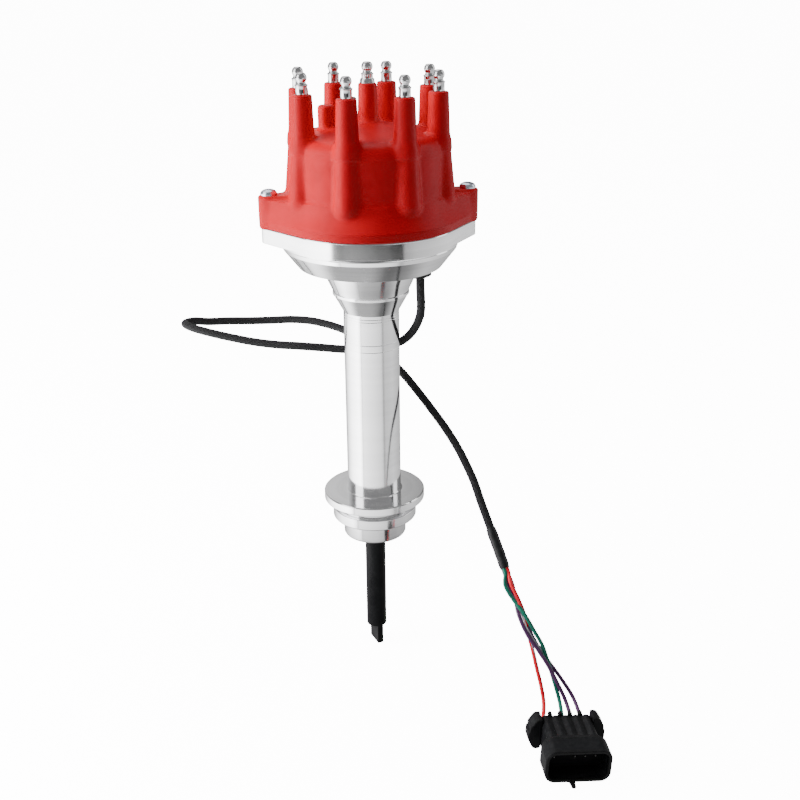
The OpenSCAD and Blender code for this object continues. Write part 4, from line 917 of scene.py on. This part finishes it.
def make_cap_screws():
    """Two pan-head screws with a cross recess, in the ears."""
    shells = []
    for side in (-1, 1):
        head = soften([(0, Z_EAR - 20), (2.4, Z_EAR - 20), (2.4, Z_EAR), (4.75, Z_EAR, 0.2), (4.75, Z_EAR + 1.2, 0.5),
                       (4.1, Z_EAR + 2.4, 1.0), (2.6, Z_EAR + 3.2, 1.6), (0, Z_EAR + 3.4)])
        shells.append(turn_profile(head, 64, (side * EAR_X, 0)))
    screws = place("ear_screws", *join_pieces(*shells), ZINC, HOUSING)
    cutter_points, cutter_faces = [], []
    for side, swing in ((-1, 0.5), (1, 1.2)):
        for quarter in (0, math.pi / 2):
            a = swing + quarter
            base = len(cutter_points)
            for z, length, width in ((Z_EAR + 1.2, 1.3, 0.45), (Z_EAR + 4.2, 2.7, 0.85)):
                for u, v in ((-1, -1), (1, -1), (1, 1), (-1, 1)):
                    px, py = rotated(u * length, v * width / 2, a)
                    cutter_points.append((side * EAR_X + px, py, z + 0.01 * quarter))
            quads = [(3, 2, 1, 0), (4, 5, 6, 7), (0, 1, 5, 4), (1, 2, 6, 5), (2, 3, 7, 6), (3, 0, 4, 7)]
            cutter_faces += [tuple(base + i for i in q) for q in quads]
    cut_away(screws, linked("cross_cutter", plain_mesh("cross_cutter", cutter_points, cutter_faces)))
    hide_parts("cap_screws")


def cut_away(piece, cutter):
    """Takes the cutter's volume out of a piece, and leaves a plain mesh."""
    modifier = piece.modifiers.new("cut", "BOOLEAN")
    modifier.operation, modifier.object, modifier.solver = "DIFFERENCE", cutter, "EXACT"
    modifier.use_self = True
    shape = piece.evaluated_get(bpy.context.evaluated_depsgraph_get())
    mesh = bpy.data.meshes.new_from_object(shape)
    old = piece.data
    piece.modifiers.clear()
    piece.data = mesh
    mesh.name = old.name + "_cut"
    mesh.materials.clear()
    mesh.materials.append(old.materials[0])
    bpy.data.meshes.remove(old)
    bpy.data.objects.remove(cutter)
    piece.data.shade_smooth()
    piece.data.set_sharp_from_angle(angle=math.radians(35))


def make_vent_filter():
    """The black plug with its wide head, on the second vent boss."""
    a = math.radians(VENT_TURNS[1])
    profile = [(0, Z_FILTER - 3), (3.2, Z_FILTER - 3), (3.2, Z_FILTER + 0.1), (BOSS_R, Z_FILTER + 0.1, 0.2),
               (BOSS_R, Z_FILTER + 5, 0.9), (0, Z_FILTER + 5)]
    turned("vent_felt", profile, RUBBER, HOUSING, ["vent_filter"], "black_rubber", around=48,
           centre=(VENT_R * math.cos(a), VENT_R * math.sin(a)))


# ---------------------------------------------------------------- connector

def rounded_plan(x, z, half, low, high, corner):
    """Distance to an upright rectangle with round corners, centred on X."""
    return round_corner(np.abs(x) - half + corner, np.abs(z - (low + high) / 2) - (high - low) / 2 + corner, corner)


def shell_distance(x, y, z):
    """The shroud with its round mouth, the taper, and the ribbed body with its five seal bores."""
    taper = np.clip((y - 13) / 5, 0, 1)
    plan = rounded_plan(x, z, 18.5 - 4 * taper, 1.95 * taper, 20.3 - 1.95 * taper, 6 - 3 * taper) * 0.85
    solid = blend_edge(plan, np.abs(y - 17) - 17, 0.9)
    tongue = rounded_plan(x + 3, z, 1.7 + 0.12 * np.clip(y, -5, 0), 0, 2, 0.6)
    solid = blend_in(solid, np.maximum(tongue, np.maximum(-5 - y, y - 1)), 0.6)
    for k in range(WAYS):
        for height in (WAY_Z + 6.5, WAY_Z - 6.5):
            rib = span(x - way_x(k), z - height) - 2.7
            solid = blend_in(solid, np.maximum(rib, np.maximum(16 - y, y - 34)), 1.0)
    hollow = np.maximum(rounded_plan(x, z, 16.5, 2, 18.3, 4), y - 12)
    solid = blend_edge(solid, -hollow, 0.8)
    for k in range(WAYS):
        bore = span(x - way_x(k), z - WAY_Z) - 2.4
        solid = np.maximum(solid, -np.maximum(bore, 28.7 - y))
    return solid


def polygon_distance(x, z, corners):
    """Signed distance to a polygon, its corners given in order."""
    best, inside = None, np.zeros(np.shape(x), bool)
    for (ax, az), (bx, bz) in zip(corners, corners[1:] + corners[:1]):
        ex, ez = bx - ax, bz - az
        wx, wz = x - ax, z - az
        t = np.clip((wx * ex + wz * ez) / (ex * ex + ez * ez), 0, 1)
        away = (wx - ex * t) ** 2 + (wz - ez * t) ** 2
        best = away if best is None else np.minimum(best, away)
        with np.errstate(divide="ignore", invalid="ignore"):
            crosses = ((az > z) != (bz > z)) & (x < ex * (z - az) / (ez if ez else 1e-9) + ax)
        inside ^= crosses
    return np.where(inside, -1, 1) * np.sqrt(best)


def lock_distance(x, y, z):
    """The rear lock: a comb between two round wings, each with a step half way up."""
    side = 14.6
    solid = np.maximum(np.maximum(np.abs(x) - side - 1, np.abs(z - 6.07) - 4.07), np.abs(y - 35.5) - 1.4)
    for k in range(WAYS - 1):
        middle = (way_x(k) + way_x(k + 1)) / 2
        tooth = np.where(z > 19, span(x - middle, z - 19), np.abs(x - middle)) - 1.1
        tooth = np.maximum(tooth, np.maximum(np.abs(y - 35.5) - 1.4, 2 - z))
        solid = blend_in(solid, tooth, 0.6)
    for k in range(WAYS):
        solid = np.maximum(solid, 1.5 - span(x - way_x(k), z - WAY_Z))
    reach = polygon_distance(np.abs(x), z, [(16.5, 4), (17, 4), (19, 8), (19, 13), (16.2, 17.5), (15.2, 17.5)]) - 3
    wing = blend_edge(reach, np.abs(y - 32.4) - 4.5, 1.0)
    wing = np.maximum(wing, side - np.abs(x))
    step = np.abs(x) - np.where(z > 12, 21.1, 22.4)
    return blend_in(solid, np.maximum(wing, step), 0.6)


def make_connector():
    """The black plug: a shell and its rear lock as mouldings, with five seals and four pins."""
    def put(points):
        return np.array([at_connector(*p) for p in points])

    shell = moulded("connector_body", shell_distance, (-20, -6.5, -1.5), (20, 35.5, 22), (0.42, 0.46, 0.42), NYLON,
                    ["connector_shell"], put)
    lock = moulded("connector_comb", lock_distance, (-23.5, 26.5, -0.5), (23.5, 38.3, 22), (0.42, 0.4, 0.42), NYLON,
                   ["connector_lock"], put)
    lips = [(2.2, 29.2), (2.35, 29.7), (2.0, 30.3), (2.35, 30.9), (2.0, 31.5), (2.35, 32.1), (2.0, 32.7), (2.2, 33.2),
            (2.2, 34.0)]
    bores = [1.0 if k in WIRED else 0 for k in range(WAYS)]
    seals = [along_connector([(bore, 29.2), *lips, (bore, 34.0)], k) for k, bore in enumerate(bores)]
    seals = place("wire_seals", *join_pieces(*seals), SILICONE, HOUSING, ["connector_seals"], "seal_blue")
    pin = [(0, 9.0), (0.35, 9.0), (0.75, 9.8), (0.75, 18.0), (1.15, 18.4), (1.15, 29.0), (0, 29.0)]
    pins = [along_connector(pin, k) for k in WIRED]
    pins = place("contact_pins", *join_pieces(*pins), SHADE_DARK_TIN, HOUSING, ["connector_pins"], "pin_tin")
    return [shell, lock, seals, pins]


def along_connector(profile, way):
    """A turned shape on the middle line of one of the connector's ways."""
    points, faces = turn_profile(profile, 28)
    return [at_connector(way_x(way) + x, z, WAY_Z + y) for x, y, z in points], faces


def make_grommet():
    """The cable's rubber grommet: a plug with round ends in the bowl's floor, held by a groove and a lip."""
    turn, half_straight, around = math.radians(-45), 1.8, 48
    rings = soften([(3.0, 146.3, 0.2), (5.2, 146.3, 0.8), (5.2, Z_BOWL, 0.1), (4.0, Z_BOWL), (4.0, 152.02),
                    (4.4, 152.02), (4.4, 153.4, 0.4), (1.0, 153.4)])
    points = []
    for half, z in rings:
        for k in range(around):
            a = 2 * math.pi * (k + 0.5) / around
            out, along = 35.6 + half * math.cos(a), half * math.sin(a) + math.copysign(half_straight, math.sin(a))
            points.append((*rotated(out, along, turn), z))
    place("slot_grommet", points, skin_faces(len(rings), around), RUBBER, HOUSING, ["cable_grommet"], "black_rubber")


# ---------------------------------------------------------------- assembly

make_camera()
make_studio()
make_cords(make_connector())
make_housing()
make_shaft()
make_bush()
make_cap()
make_terminals()
make_cap_screws()
make_vent_filter()
make_grommet()
for node, finish in HIDDEN.items():
    NODES[node].data.materials.clear()
    NODES[node].data.materials.append(finish)
